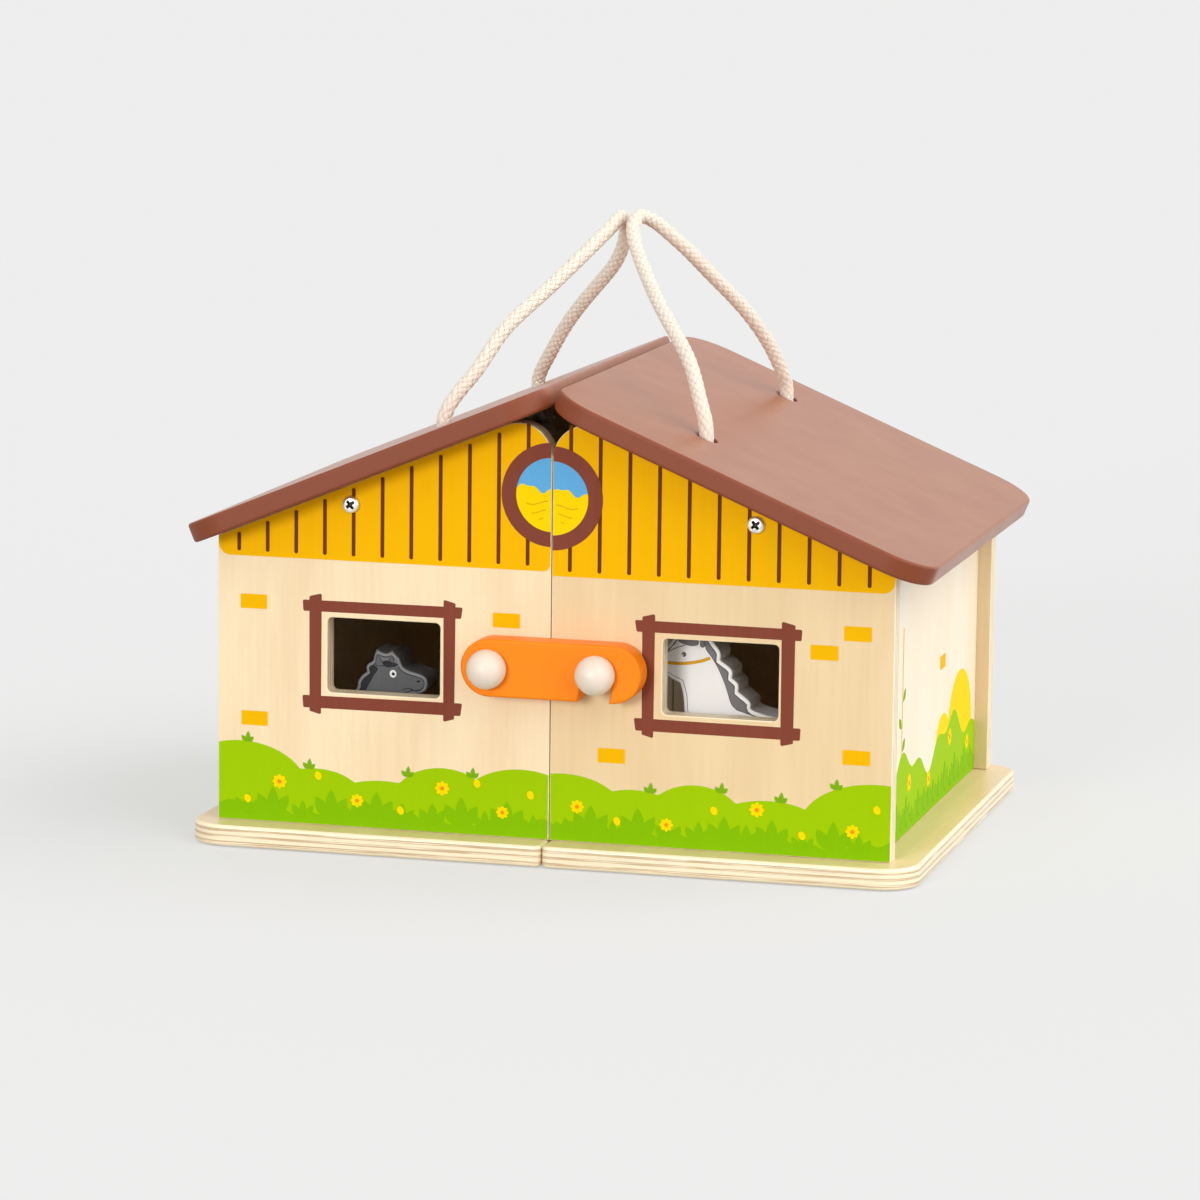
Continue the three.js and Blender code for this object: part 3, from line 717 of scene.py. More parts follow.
class Shader:
    """A node tree, with a short name for each kind of node that the finishes use."""

    def __init__(self, owner: bpy.types.Material | bpy.types.World) -> None:
        owner.use_nodes = True
        self.tree = owner.node_tree
        self.tree.nodes.clear()

    def node(self, kind: str, sockets: dict | None = None, **settings: str) -> bpy.types.Node:
        """One node.

        Args:
            kind: the node's type, without the words that all types start with.
            sockets: values or links for its inputs, by name or number.
            settings: its own options, such as a sum's operation, set first.

        Returns:
            The node.
        """
        made = self.tree.nodes.new(f"ShaderNode{kind}")
        for name, value in settings.items():
            setattr(made, name, value)
        for name, value in (sockets or {}).items():
            value = value.socket if isinstance(value, Signal) else value
            if isinstance(value, Socket):
                self.tree.links.new(value, made.inputs[name])
            else:
                made.inputs[name].default_value = value
        return made

    def signal(self, kind: str, sockets: dict, **settings: str) -> Signal:
        """The first output of a new node, as a number."""
        return Signal(self, self.node(kind, sockets, **settings).outputs[0])

    def math(self, operation: str, *values: Number | Socket) -> Signal:
        """A sum of one or more numbers."""
        return self.signal("Math", dict(enumerate(values)), operation=operation)

    def step(self, value: Number, low: float, high: float) -> Signal:
        """A smooth step from 0 at low to 1 at high."""
        sockets = {"Value": value, "From Min": low, "From Max": high}
        return self.signal("MapRange", sockets, interpolation_type="SMOOTHSTEP")

    def attribute(self, name: str) -> Socket:
        """A vector that the piece's own mesh carries."""
        return self.node("Attribute", attribute_name=name).outputs["Vector"]

    def place(self) -> Socket:
        """The place on the piece in millimetres."""
        return self.scaled(self.node("TexCoord").outputs["Object"], (1 / MM,) * 3)

    def seen(self) -> Signal:
        """One where the camera looks, and where gloss or glass shows what it would see there."""
        path = self.node("LightPath").outputs
        gloss = self.math("MAXIMUM", path["Is Camera Ray"], path["Is Glossy Ray"])
        return self.math("MAXIMUM", gloss, path["Is Transmission Ray"])

    def scaled(self, vector: Socket, by: Triple) -> Socket:
        """A vector with each part multiplied."""
        return self.node("VectorMath", {0: vector, 1: by}, operation="MULTIPLY").outputs[0]

    def parts(self, vector: Socket) -> tuple[Signal, Signal, Signal]:
        """The three parts of a vector."""
        x, y, z = (Signal(self, part) for part in self.node("SeparateXYZ", {0: vector}).outputs)
        return x, y, z

    def vector(self, x: Number, y: Number, z: Number) -> Socket:
        """A vector from its three parts."""
        return self.node("CombineXYZ", {0: x, 1: y, 2: z}).outputs[0]

    def noise(self, vector: Socket, size: Triple, detail: float = 2.0) -> Signal:
        """Cloudy noise about one half, with features of the given size along each axis."""
        spread = self.scaled(vector, tuple(1 / length for length in size))
        return self.signal("TexNoise", {"Vector": spread, "Scale": 1.0, "Detail": detail})

    def mix(self, factor: Number, first: Colour | Socket, second: Colour | Socket) -> Socket:
        """One colour going over into another."""
        return self.node("Mix", {0: factor, 6: first, 7: second}, data_type="RGBA").outputs[2]

    def bump(self, height: Signal, strength: float = 1.0) -> Socket:
        """A normal from a height in millimetres."""
        sockets = {"Height": height, "Distance": MM, "Strength": strength}
        return self.node("Bump", sockets).outputs[0]

    def surface(self, sockets: dict) -> None:
        """Ends the tree with a principled surface."""
        principled = self.node("BsdfPrincipled", sockets)
        self.node("OutputMaterial", {"Surface": principled.outputs[0]})


# Finishes


@dataclass(frozen=True)
class Finish:
    """What all finishes share: a name, and the record's slot that they belong to."""

    name: str
    slot: str

    def shade(self, shader: Shader) -> None:
        """Builds the nodes of the finish."""
        raise NotImplementedError

    def material(self) -> bpy.types.Material:
        """The finish's material, made when it is first asked for."""
        name = f"look_{self.name}"
        found = bpy.data.materials.get(name)
        if found is None:
            found = bpy.data.materials.new(name)
            self.shade(Shader(found))
        return found

    def dress(self, made: bpy.types.Object, body: str, *nodes: str) -> bpy.types.Object:
        """Gives a piece this finish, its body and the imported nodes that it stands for."""
        made.data.materials.append(self.material())
        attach(made, body)
        if nodes:
            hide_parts(*nodes)
        log.info("%s: %d faces, rides %s", made.name, len(made.data.polygons), body)
        return made


@dataclass(frozen=True)
class BirchPly(Finish):
    """Clear lacquered birch plywood: fine pale grain on the faces, streaky plies on the edges."""

    cream: Colour = srgb(245, 223, 182)
    warm: Colour = srgb(238, 210, 166)
    pore: Colour = srgb(220, 188, 140)
    long_ply: Colour = srgb(250, 234, 200)
    cross_ply: Colour = srgb(204, 172, 130)
    glue: Colour = srgb(138, 104, 72)
    plies: int = 7
    coat: float = 0.3

    def shade(self, shader: Shader) -> None:
        """Face grain from stretched noise, and plies as sin(pi n t) over the share t of an edge."""
        grain = shader.attribute("grain")
        along, across, edge = shader.parts(shader.attribute("rim"))
        cloud = shader.noise(grain, (22, 90, 22), 3)
        streak = shader.noise(grain, (1.9, 48, 1.9), 3)
        fleck = shader.noise(grain, (0.24, 4.5, 0.24), 1)
        tone = shader.step(0.72 * cloud + 0.28 * streak, 0.33, 0.69)
        face = shader.mix(tone, self.cream, self.warm)
        face = shader.mix(0.22 * shader.step(fleck, 0.58, 0.78), face, self.pore)
        rim = shader.vector(along, 9 * across, 0.0)
        wander = shader.noise(rim, (34, 1.6, 1), 3)
        wave = shader.math("SINE", math.pi * self.plies * (across + 0.03 * (wander - 0.5)))
        lines = shader.noise(rim, (26, 0.4, 1), 3)
        cross = shader.mix(shader.step(lines, 0.46, 0.62), self.cross_ply, self.long_ply)
        thin = shader.noise(rim, (50, 0.42, 1), 3)
        long = shader.mix(0.5 * shader.step(thin, 0.54, 0.74), self.long_ply, self.cross_ply)
        plies = shader.mix(shader.step(wave, -0.5, -0.2), cross, long)
        seam = 1 - shader.step(shader.math("ABSOLUTE", wave + 0.34), 0.04, 0.24)
        plies = shader.mix(0.75 * seam * shader.step(wander, 0.36, 0.6), plies, self.glue)
        relief = 0.008 * fleck + 0.014 * streak + 0.04 * edge * lines
        shader.surface({
            "Base Color": shader.mix(edge, face, plies), "Roughness": 0.4 + 0.12 * streak,
            "Coat Weight": self.coat, "Coat Roughness": 0.2, "Normal": shader.bump(relief),
        })


@dataclass(frozen=True)
class SolidWood(Finish):
    """A bar of plain birch, cut along its grain."""

    light: Colour = srgb(236, 208, 158)
    dark: Colour = srgb(214, 178, 124)

    def shade(self, shader: Shader) -> None:
        """Long soft streaks between two tones, with fine pores."""
        grain = shader.attribute("grain")
        streak = shader.noise(grain, (2.2, 90, 2.2), 3)
        fleck = shader.noise(grain, (0.3, 6, 0.3), 1)
        tone = shader.step(streak, 0.35, 0.7)
        shader.surface({
            "Base Color": shader.mix(tone, self.light, self.dark), "Roughness": 0.5 + 0.15 * fleck,
            "Normal": shader.bump(0.03 * streak + 0.02 * fleck),
        })


@dataclass(frozen=True)
class Paint(Finish):
    """Sprayed paint: a faint mottle, a fine orange peel and the wood's lines just showing."""

    colour: Colour
    deeper: Colour
    roughness: float = 0.4
    peel: float = 0.012
    wood: float = 0.01
    coat: float = 0.0
    specular: float = 0.5
    # Painted shade: the darker colour that the marked board edges are painted.
    shaded_edge: Colour | None = None

    def shade(self, shader: Shader) -> None:
        """Two close tones mixed by cloudy noise, with the peel and the wood's lines as bump.

        Where a board's edges are marked, the paint is duller there and painted darker, as shade.
        """
        place = shader.place()
        cloud = shader.noise(place, (24, 24, 24), 3)
        peel = shader.noise(place, (0.9, 0.9, 0.9), 2)
        wood = shader.noise(place, (60, 60, 1.4), 2)
        # Painted shade: how much of the darker edge colour each marked edge gets.
        edge = shader.parts(shader.attribute("rim"))[2] * (1.0 if self.shaded_edge else 0.0)
        tone = shader.step(0.7 * cloud + 0.3 * peel, 0.3, 0.7)
        painted = shader.mix(tone, self.colour, self.deeper)
        shader.surface({
            "Base Color": shader.mix(edge, painted, self.shaded_edge or self.deeper),
            "Roughness": self.roughness + 0.08 * (cloud - 0.5) + 0.25 * edge,
            "Coat Weight": self.coat * (1 - edge), "Coat Roughness": 0.12,
            "Specular IOR Level": self.specular,
            "Normal": shader.bump(self.peel * peel + self.wood * wood),
        })


@dataclass(frozen=True)
class Ink(Finish):
    """Screen printed ink on plywood: flat colour with upright grain lines just showing through."""

    colour: Colour
    under: Colour

    def shade(self, shader: Shader) -> None:
        """The ink's colour with a little of a second tone along the wood's upright lines."""
        place = shader.place()
        streak = shader.noise(place, (1.3, 1.3, 60), 2)
        band = shader.noise(place, (9, 9, 160), 2)
        tone = shader.step(0.5 * streak + 0.5 * band, 0.38, 0.72)
        shader.surface({
            "Base Color": shader.mix(0.6 * tone, self.colour, self.under),
            "Roughness": 0.45 + 0.1 * streak, "Specular IOR Level": 0.04,
            "Normal": shader.bump(0.015 * streak),
        })


@dataclass(frozen=True)
class PlatedSteel(Finish):
    """Zinc plated steel, slightly clouded."""

    bright: Colour = srgb(243, 241, 236)
    dull: Colour = srgb(214, 212, 208)
    # Painted shade: the dark colour of a screw's carved cross recess.
    recess: Colour = srgb(58, 54, 50)
    roughness: float = 0.3

    def shade(self, shader: Shader) -> None:
        """Two greys in small clouds that roughness follows, and a painted shade in a carved recess.
        """
        place = shader.place()
        cloud = shader.noise(place, (1.6, 1.6, 1.6), 3)
        fine = shader.noise(place, (0.35, 0.35, 0.35), 2)
        depth = shader.parts(shader.attribute("rim"))[2]
        face = shader.mix(shader.step(cloud, 0.35, 0.7), self.bright, self.dull)
        shader.surface({
            # Painted shade fills the carved recess, by its depth.
            "Base Color": shader.mix(shader.step(depth, 0.15, 0.6), face, self.recess),
            "Metallic": 1.0, "Roughness": self.roughness + 0.14 * cloud,
            "Normal": shader.bump(0.004 * fine),
        })


@dataclass(frozen=True)
class Cotton(Finish):
    """Natural braided cotton: cream strands, painted shade in the grooves between them, and fine
    yarn lines.
    """

    strand: Colour = srgb(242, 231, 217)
    # Painted shade: the colour of the grooves between the strands.
    groove_shade: Colour = srgb(228, 214, 192)
    stained: Colour = srgb(235, 220, 197)
    yarns: float = 3.0

    def shade(self, shader: Shader) -> None:
        """Colour is painted darker as shade in the grooves, by the strand's height, and bump adds
        yarns as |sin(pi n u)| across it.
        """
        across, along, height = shader.parts(shader.attribute("rim"))
        place = shader.place()
        fibre = shader.noise(place, (0.35, 0.35, 0.35), 3)
        stain = shader.noise(place, (7, 7, 7), 2)
        twist = across + 0.22 * along
        yarn = shader.math("ABSOLUTE", shader.math("SINE", math.pi * self.yarns * twist))
        # Painted shade: the low places of the braid turn to the groove colour.
        depth = shader.step(height + 0.5 * (fibre - 0.5), 0.05, 0.6)
        cream = shader.mix(0.3 * stain, self.strand, self.stained)
        shader.surface({
            "Base Color": shader.mix(depth, self.groove_shade, cream), "Roughness": 0.9,
            "Sheen Weight": 0.25, "Sheen Roughness": 0.5, "Specular IOR Level": 0.2,
            "Normal": shader.bump(0.1 * yarn + 0.24 * fibre, 0.8),
        })


BIRCH = BirchPly("birch_ply", "birch_ply")
# Painted shade: the right front wall's birch, painted darker than the left one's, as the light
# falls off to the right.
SHADED_BIRCH = BirchPly(
    "shaded_birch_ply", "birch_ply", cream=srgb(234, 207, 159), warm=srgb(227, 197, 149)
)
# Painted light: the side walls' birch, painted paler and lighter, as the light and sheen that fall
# on them.
LIT_BIRCH = BirchPly(
    "lit_birch_ply", "birch_ply", cream=srgb(250, 238, 215), warm=srgb(247, 231, 202)
)
# Painted shade: the base's birch is painted darker, as shade and as a reflection of the green
# print. Its thicker coat is real lacquer.
SHADED_BASE_BIRCH = BirchPly(
    "shaded_base_birch_ply", "birch_ply", cream=srgb(239, 212, 168), warm=srgb(232, 200, 152), coat=0.5
)
BATTEN_WOOD = SolidWood("batten_wood", "birch_ply")
# The roof paint's edges at the gable ends are painted darker, as shade.
ROOF_PAINT = Paint(
    "roof_paint", "roof_paint", srgb(157, 90, 50), srgb(150, 83, 45), roughness=0.32, peel=0.014,
    coat=0.1, shaded_edge=srgb(126, 56, 18),
)
ORANGE_PAINT = Paint(
    "orange_paint", "orange_paint", srgb(254, 138, 4), srgb(251, 132, 2), roughness=0.42,
    specular=0.2,
)
KNOB_PAINT = Paint(
    "knob_paint", "knob_paint", srgb(237, 222, 206), srgb(233, 215, 198), roughness=0.42,
    peel=0.006, wood=0.0, coat=0.1,
)
GREY_BOARD = Paint(
    "grey_board", "grey_paint", srgb(126, 126, 127), srgb(118, 118, 120), roughness=0.45
)
WHITE_BOARD = Paint("white_board", "white_paint", srgb(250, 249, 247), srgb(246, 245, 242))
SCREW_STEEL = PlatedSteel("screw_steel", "screw_steel")
HINGE_STEEL = PlatedSteel(
    "hinge_steel", "hinge_steel", bright=srgb(220, 219, 215), dull=srgb(194, 193, 190),
    roughness=0.24,
)
COTTON = Cotton("cotton_rope", "cotton_rope")
INK_TONES = {
    "birch_ply": {
        "gable": ((246, 184, 0), (242, 179, 0)),
        "stripe": ((108, 54, 10), (118, 60, 14)),
        "frame": ((130, 67, 51), (136, 73, 57)),
        "brick": ((242, 182, 0), (244, 187, 6)),
        "sky": ((98, 172, 222), (104, 177, 226)),
        "field": ((250, 212, 0), (250, 216, 4)),
        "furrow": ((222, 172, 10), (226, 180, 20)),
        "meadow": ((156, 198, 0), (160, 200, 2)),
        "grass": ((128, 184, 0), (132, 187, 2)),
        "sprout": ((122, 172, 14), (130, 176, 24)),
        "petal": ((255, 216, 0), (255, 219, 10)),
        "heart": ((240, 140, 20), (243, 148, 34)),
        "stake": ((236, 180, 96), (240, 188, 110)),
    },
    "grey_paint": {
        "grey_line": ((44, 44, 47), (52, 52, 55)),
        "grey_fill": ((104, 104, 106), (110, 110, 112)),
        "grey_edge": ((126, 126, 127), (120, 120, 121)),
        "grey_mane": ((52, 52, 56), (60, 60, 64)),
        "eye_white": ((248, 248, 246), (243, 243, 241)),
        "eye_black": ((18, 18, 20), (24, 24, 26)),
    },
    "white_paint": {
        "white_line": ((84, 82, 82), (92, 90, 90)),
        "white_fill": ((251, 250, 248), (248, 247, 245)),
        "white_mane": ((132, 129, 130), (124, 121, 122)),
        "white_eye": ((96, 96, 98), (104, 104, 106)),
        "halter": ((222, 164, 44), (228, 172, 56)),
    },
}
INKS = {
    name: Ink(f"ink_{name}", slot, *(srgb(*tone) for tone in tones))
    for slot, inks in INK_TONES.items() for name, tones in inks.items()
}


# The studio


@dataclass(frozen=True)
class Studio:
    """A pale floor, three broad soft lights and an even sky, seen through a long lens.

    Each lamp is a name, a strength, a spread and the way towards it.
    """

    camera_place: Triple = (0.5665, FRONT * MM - 2.0464, BASE_TOP * MM + 0.4476)
    camera_right: Triple = (0.96566688, 0.25952137, 0.01166759)
    camera_up: Triple = (-0.05295619, 0.15268033, 0.98685579)
    camera_back: Triple = (0.25432875, -0.95359183, 0.1611816)
    lens: float = 157.5
    sensor: float = 36.0
    clip: Pair = (0.1, 200.0)
    backdrop: Colour = srgb(236, 236, 234)
    bounce: Colour = srgb(177, 176, 173)
    matt: Colour = srgb(226, 227, 228)
    glow: float = 0.58
    sky_strength: float = 0.25
    suns: tuple[tuple[str, float, float, Triple], ...] = (
        ("front_window", 1.53, math.radians(18), (-0.2, -0.95, 0.22)),
        ("ceiling", 1.2, math.radians(130), (-0.1, 0.05, 0.98)),
        ("right_wall", 3.3, math.radians(96), (0.96, -0.03, 0.32)),
    )
    floor_reach: float = 40.0
    floor_drop: float = -0.4 * MM

    def camera(self) -> None:
        """Sets the camera that the photograph was taken with."""
        data = bpy.data.cameras.new("photo_camera")
        data.lens, data.sensor_width = self.lens, self.sensor
        data.clip_start, data.clip_end = self.clip
        made = add_object("photo_camera", data)
        axes = Matrix((self.camera_right, self.camera_up, self.camera_back)).transposed()
        made.matrix_world = Matrix.Translation(self.camera_place) @ axes.to_4x4()
        bpy.context.scene.camera = made

    def world(self) -> None:
        """An even sky, as bright as the backdrop where it is seen or mirrored."""
        bpy.context.scene.world = bpy.data.worlds.new("studio")
        shader = Shader(bpy.context.scene.world)
        sky = {"Color": (1, 1, 1, 1), "Strength": self.sky_strength}
        choice = shader.node("MixShader", {
            0: shader.seen(), 1: shader.node("Background", sky).outputs[0],
            2: shader.node("Background", {"Color": self.backdrop}).outputs[0],
        })
        shader.node("OutputWorld", {"Surface": choice.outputs[0]})

    def lamps(self) -> None:
        """Broad soft lights, like a large window and pale walls."""
        for name, strength, spread, source in self.suns:
            data = bpy.data.lights.new(name, "SUN")
            data.energy, data.angle = strength, spread
            made = add_object(name, data)
            made.rotation_mode = "QUATERNION"
            made.rotation_quaternion = Vector(source).to_track_quat("Z", "Y")

    def floor(self) -> None:
        """The pale floor, just under the base boards.

        It glows a little where it is seen, so that its shadows stay as faint as in the photograph,
        and throws back less light than it shows.
        """
        material = bpy.data.materials.new("look_floor")
        shader = Shader(material)
        seen = shader.seen()
        matt = shader.node("BsdfDiffuse", {"Color": shader.mix(seen, self.bounce, self.matt)})
        glow = shader.node("Emission", {"Color": self.backdrop})
        both = shader.node("MixShader", {
            0: self.glow * seen, 1: matt.outputs[0], 2: glow.outputs[0],
        })
        shader.node("OutputMaterial", {"Surface": both.outputs[0]})
        spots = centred(0, 0, 2 * self.floor_reach, 2 * self.floor_reach)
        mesh = bpy.data.meshes.new("floor")
        mesh.from_pydata([(x, y, self.floor_drop) for x, y, _ in spots], [], [(0, 1, 2, 3)])
        mesh.materials.append(material)
        add_object("floor", mesh)

    def build(self) -> None:
        """Makes the whole studio."""
        bpy.context.scene.view_settings.view_transform = "Standard"
        self.camera()
        self.world()
        self.lamps()
        self.floor()


# Rope handles


@dataclass(frozen=True)
class RopeHandle:
    """One loop of cotton rope from a knot under the roof, over the top and down to another."""

    side: Side
    route: Triples
    radius: float = 3.3
    fuzz: float = 0.2
    step: float = 0.36
    knot_wrap: float = 5.3
    knot_rise: float = 4.4
    knot_turns: float = 1.6
    knot_points: int = 15
    knot_taper: float = 0.12
    knot_strand: float = 0.9
    knot_start: Triples = ((0, 0, 9.6), (0.4, -1.2, 7.6))
    knot_end: Triples = ((0.2, -0.8, -7.8), (0, 0, -14.0))

    def knot_path(self, x: float, y: float, z: float) -> Array:
        """A strand that comes down, winds round in a tight helix and leaves as a tail.

        Between its ends the strand is at (w cos a, w sin a, z) with a over the turns.
        """
        angles = np.linspace(0, FULL_TURN * self.knot_turns, self.knot_points)
        share = np.linspace(-1, 1, self.knot_points)
        wrap = self.knot_wrap * (1 - self.knot_taper * share**2)
        drop = -self.knot_rise * share
        coil = np.column_stack([on_circle(angles, wrap), drop])
        knots = np.concatenate([self.knot_start, coil, self.knot_end])
        return even_path(knots + (x, y, z), self.step)

    def build(self) -> None:
        """Makes the rope and its knots. The fuzz is the room between the strands, by which the
        braid is thinner than the rope's full radius.
        """
        name, body = f"{self.side.word}_handle", self.side.body
        path = even_path(np.array(self.route) + (0, FRONT, BASE_TOP), self.step)
        braid = Braid(self.radius - self.fuzz)
        rope = braid.tube(path).make(f"{name}_rope", grain=Grain(1, 0), own_normals=False)
        COTTON.dress(rope, body, f"{name}_cord")
        for number, (x, y, _) in enumerate((path[0], path[-1]), 1):
            node = f"{name}_knot_{number}"
            low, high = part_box(node)
            middle = (high.z - (high.x - low.x) / 2) / MM
            shell = braid.tube(self.knot_path(x, y, middle), self.knot_strand)
            knot = shell.make(f"{node}_tied", grain=Grain(1, 0), own_normals=False)
            COTTON.dress(knot, body, node)
        2 * self.radius * MM


RIGHT_ROUTE = (
    (56.4, 33, 156.6), (56.4, 33, 162), (56.4, 33, 168), (55.6, 33.6, 173), (53.2, 35.8, 179.5),
    (49.6, 40, 188.5), (45.2, 46, 196.2), (36.6, 57, 205.6), (25.4, 71.5, 217), (14.2, 88.5, 230),
    (7.2, 100.5, 239.6), (4.6, 108.4, 245.4), (5.2, 115.4, 248.6), (9.4, 121.8, 246.6),
    (15.2, 127.2, 241), (22, 133.4, 233.4), (29.4, 141.6, 223.6), (38, 151, 212.4),
    (46.4, 161, 199.4), (52.2, 169.6, 186.6), (55, 175.4, 177.4), (56.2, 178.6, 171.6),
    (56.4, 179, 167), (56.4, 179, 162), (56.4, 179, 156.6),
)
LEFT_ROUTE = (
    (-56.4, 33, 156.6), (-56.4, 33, 162), (-56.4, 33, 168), (-55.2, 34.2, 172.6),
    (-51, 38.6, 180.4), (-45.4, 44.2, 188.6), (-38, 54, 202.6), (-27.4, 69, 216),
    (-16.4, 85.6, 229), (-8.6, 100.4, 239.4), (-5, 110.6, 245), (-4, 120, 247.6),
    (-4.2, 128.2, 244.6), (-6, 134.6, 237), (-11, 140.4, 227), (-19.6, 147.2, 217.2),
    (-29.6, 154.4, 206.8), (-40.8, 163.2, 193.4), (-49.4, 171.2, 180.8), (-54.6, 176.8, 173),
    (-56.3, 178.8, 168.6), (-56.4, 179, 165), (-56.4, 179, 161), (-56.4, 179, 156.6),
)


# Boards of the two halves


@dataclass(frozen=True)
class Half:
    """The plywood boards of one half of the barn."""

    side: Side
    seam: float = 0.2
    glue: float = 0.1
    half_span: float = 144.0
    depth: float = 216.0
    thickness: float = 9.0
    side_inset: float = 6.0
    ridge_lift: float = 180.6
    slope: float = math.radians(22.6)
    slope_gap: float = 0.3
    top_radius: float = 14.0
    wall_arris: float = 0.5
    base_front: float = 13.0
    base_back: float = 6.0
    base_corner: float = 16.0
    base_seam: float = 3.0
    base_hinge: float = 14.0
    base_arris: float = 1.5
    roof_thickness: float = 8.5
    roof_front: float = 17.0
    roof_back: float = 3.0
    roof_corner: float = 20.0
    roof_arris: float = 1.3
    rope_hole: float = 4.2
    rope_offset: float = 56.4
    rope_places: Pair = (33.0, 179.0)
    window_wide: float = 48.8
    window_high: float = 31.6
    window_radius: float = 2.2
    window_offset: float = 71.8
    batten_size: float = 16.0
    batten_offset: float = 85.9
    batten_arris: float = 0.8
    screw_inset: float = 27.0
    # The painted shade on the roof's edges grows from none to full over this range of how squarely
    # they face a gable end.
    shaded_edge_from: Pair = (0.1, 0.35)

    @property
    def base_side(self) -> float:
        """How far the base board reaches beyond the wall."""
        return 10.5 if self.side is Side.LEFT else 12.0

    @property
    def roof_reach(self) -> float:
        """Distance from the seam to the eave."""
        return 154.0 if self.side is Side.LEFT else 158.4

    @property
    def window_lift(self) -> float:
        """Height of the window's middle above the base."""
        return 72.4 if self.side is Side.LEFT else 71.4

    @property
    def side_middle(self) -> float:
        """Distance from the seam to the middle of the side wall's thickness."""
        return self.half_span - self.side_inset - self.thickness / 2

    def wall_top(self, distance: float) -> float:
        """Height of a wall's top edge at a distance from the seam."""
        gap = self.slope_gap / math.cos(self.slope)
        return self.ridge_lift - distance * math.tan(self.slope) - gap

    def grain(self, cut: float, axis: int = 1) -> Grain:
        """The grain of one board, cut elsewhere in the tree on the other side."""
        return Grain(axis, cut + self.side.value)

    def lay(
        self, name: str, node: str, finish: Finish, shell: Shell, place: Place, grain: Grain
    ) -> None:
        """Makes one board at its place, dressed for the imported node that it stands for."""
        word = self.side.word
        made = shell.make(f"{word}_{name}", place, grain)
        finish.dress(made, self.side.body, f"{word}_{node}")

    def end_outline(
        self, margin: float = 0.0, foot: float = 0.1, eases: Pair = (0.0, 0.0)
    ) -> list[Corner]:
        """Corners of the front wall, or of a print on it.

        Args:
            margin: how far inside the wall's edges the outline keeps.
            foot: the height of its lower edge.
            eases: the radii of its lower corners, at the seam and outside.

        Returns:
            The corners, anticlockwise.
        """
        inner, outer = self.seam + margin, self.half_span - margin
        drop = margin / math.cos(self.slope)
        return on_side(self.side, [
            (inner, foot, eases[0]), (outer, foot, eases[1]),
            (outer, self.wall_top(outer) - drop, 0),
            (inner, self.wall_top(inner) - drop, self.top_radius - margin),
        ])

    def window_outline(self) -> Outline:
        """The window's edge."""
        return Outline.rounded(centred(
            self.side.value * self.window_offset, self.window_lift, self.window_wide,
            self.window_high, self.window_radius,
        ))

    def end_walls(self) -> None:
        """The front wall with its window, and the back wall."""
        # The right front wall gets the birch that is painted darker, as shade.
        half, sheet = self.thickness / 2, BIRCH if self.side is Side.LEFT else SHADED_BIRCH
        front = [Outline.rounded(self.end_outline()), self.window_outline().as_hole()]
        back = [Outline.rounded(mirrored(self.end_outline()))]
        for end, finish, outlines, place, cut in (
            ("front", sheet, front, facing_front(half), 3),
            ("back", BIRCH, back, facing_back(self.depth - half), 7),
        ):
            shell = board(outlines, self.thickness, self.wall_arris)
            self.lay(f"{end}_ply", f"{end}_wall", finish, shell, place, self.grain(cut))

    def side_place(self) -> Place:
        """The side wall's own frame: x to the back, or to the front on the left, and height up."""
        sign = self.side.value
        origin = (sign * self.side_middle, FRONT, BASE_TOP)
        return Place((0, sign, 0), (0, 0, 1), (sign, 0, 0), origin)

    def side_wall(self) -> None:
        """The side wall, its top edge cut to the slope of the roof."""
        sign, start = self.side.value, self.thickness + self.glue
        end, top = self.depth - start, self.wall_top(self.side_middle)
        corners = rectangle(sign * start, self.glue, sign * end, top)
        outline = Outline.rounded(corners).leaning(0, -math.tan(self.slope), slice(2, 4))
        shell = board([outline], self.thickness, self.wall_arris)
        # The side wall gets the birch that is painted lighter, as light and sheen.
        self.lay("side_ply", "side_wall", LIT_BIRCH, shell, self.side_place(), self.grain(12))

    def base(self) -> None:
        """The base board."""
        outer = self.half_span + self.base_side
        front, back = -self.base_front, self.depth + self.base_back
        outline = Outline.rounded(on_side(self.side, [
            (self.seam, front, self.base_seam), (outer, front, self.base_corner),
            (outer, back, self.base_corner), (self.seam, back, self.base_hinge),
        ]))
        place = Place(origin=(0, FRONT, self.thickness / 2))
        shell = board([outline], self.thickness, self.base_arris, bands=5)
        # The base board gets the birch that is painted darker, as shade and reflection.
        self.lay("base_ply", "base", SHADED_BASE_BIRCH, shell, place, self.grain(17))

    def roof_place(self) -> Place:
        """The roof board's frame at its middle plane: x down the right slope, or up the left."""
        sign = self.side.value
        across = (math.cos(self.slope), 0, -sign * math.sin(self.slope))
        upward = (sign * math.sin(self.slope), 0, math.cos(self.slope))
        ridge = Place(across, (0, 1, 0), upward, (0, FRONT, BASE_TOP + self.ridge_lift))
        return ridge.moved(0, 0, self.roof_thickness / 2)

    def roof(self) -> None:
        """The painted roof board with its two rope holes, which run straight down through it."""
        sign, run = self.side.value, math.cos(self.slope)
        outline = Outline.rounded(on_side(self.side, rectangle(
            self.seam / run, -self.roof_front, self.roof_reach / run, self.depth + self.roof_back,
            self.roof_corner,
        )))
        lean = -sign * math.tan(self.slope)
        middle = sign * self.rope_offset / run + lean * self.roof_thickness / 2
        holes = [
            Outline.ellipse(middle, y, self.rope_hole / run, self.rope_hole, steps=40)
            .leaning(lean, 0).as_hole()
            for y in self.rope_places
        ]
        shell = board([outline, *holes], self.roof_thickness, self.roof_arris, bands=5)
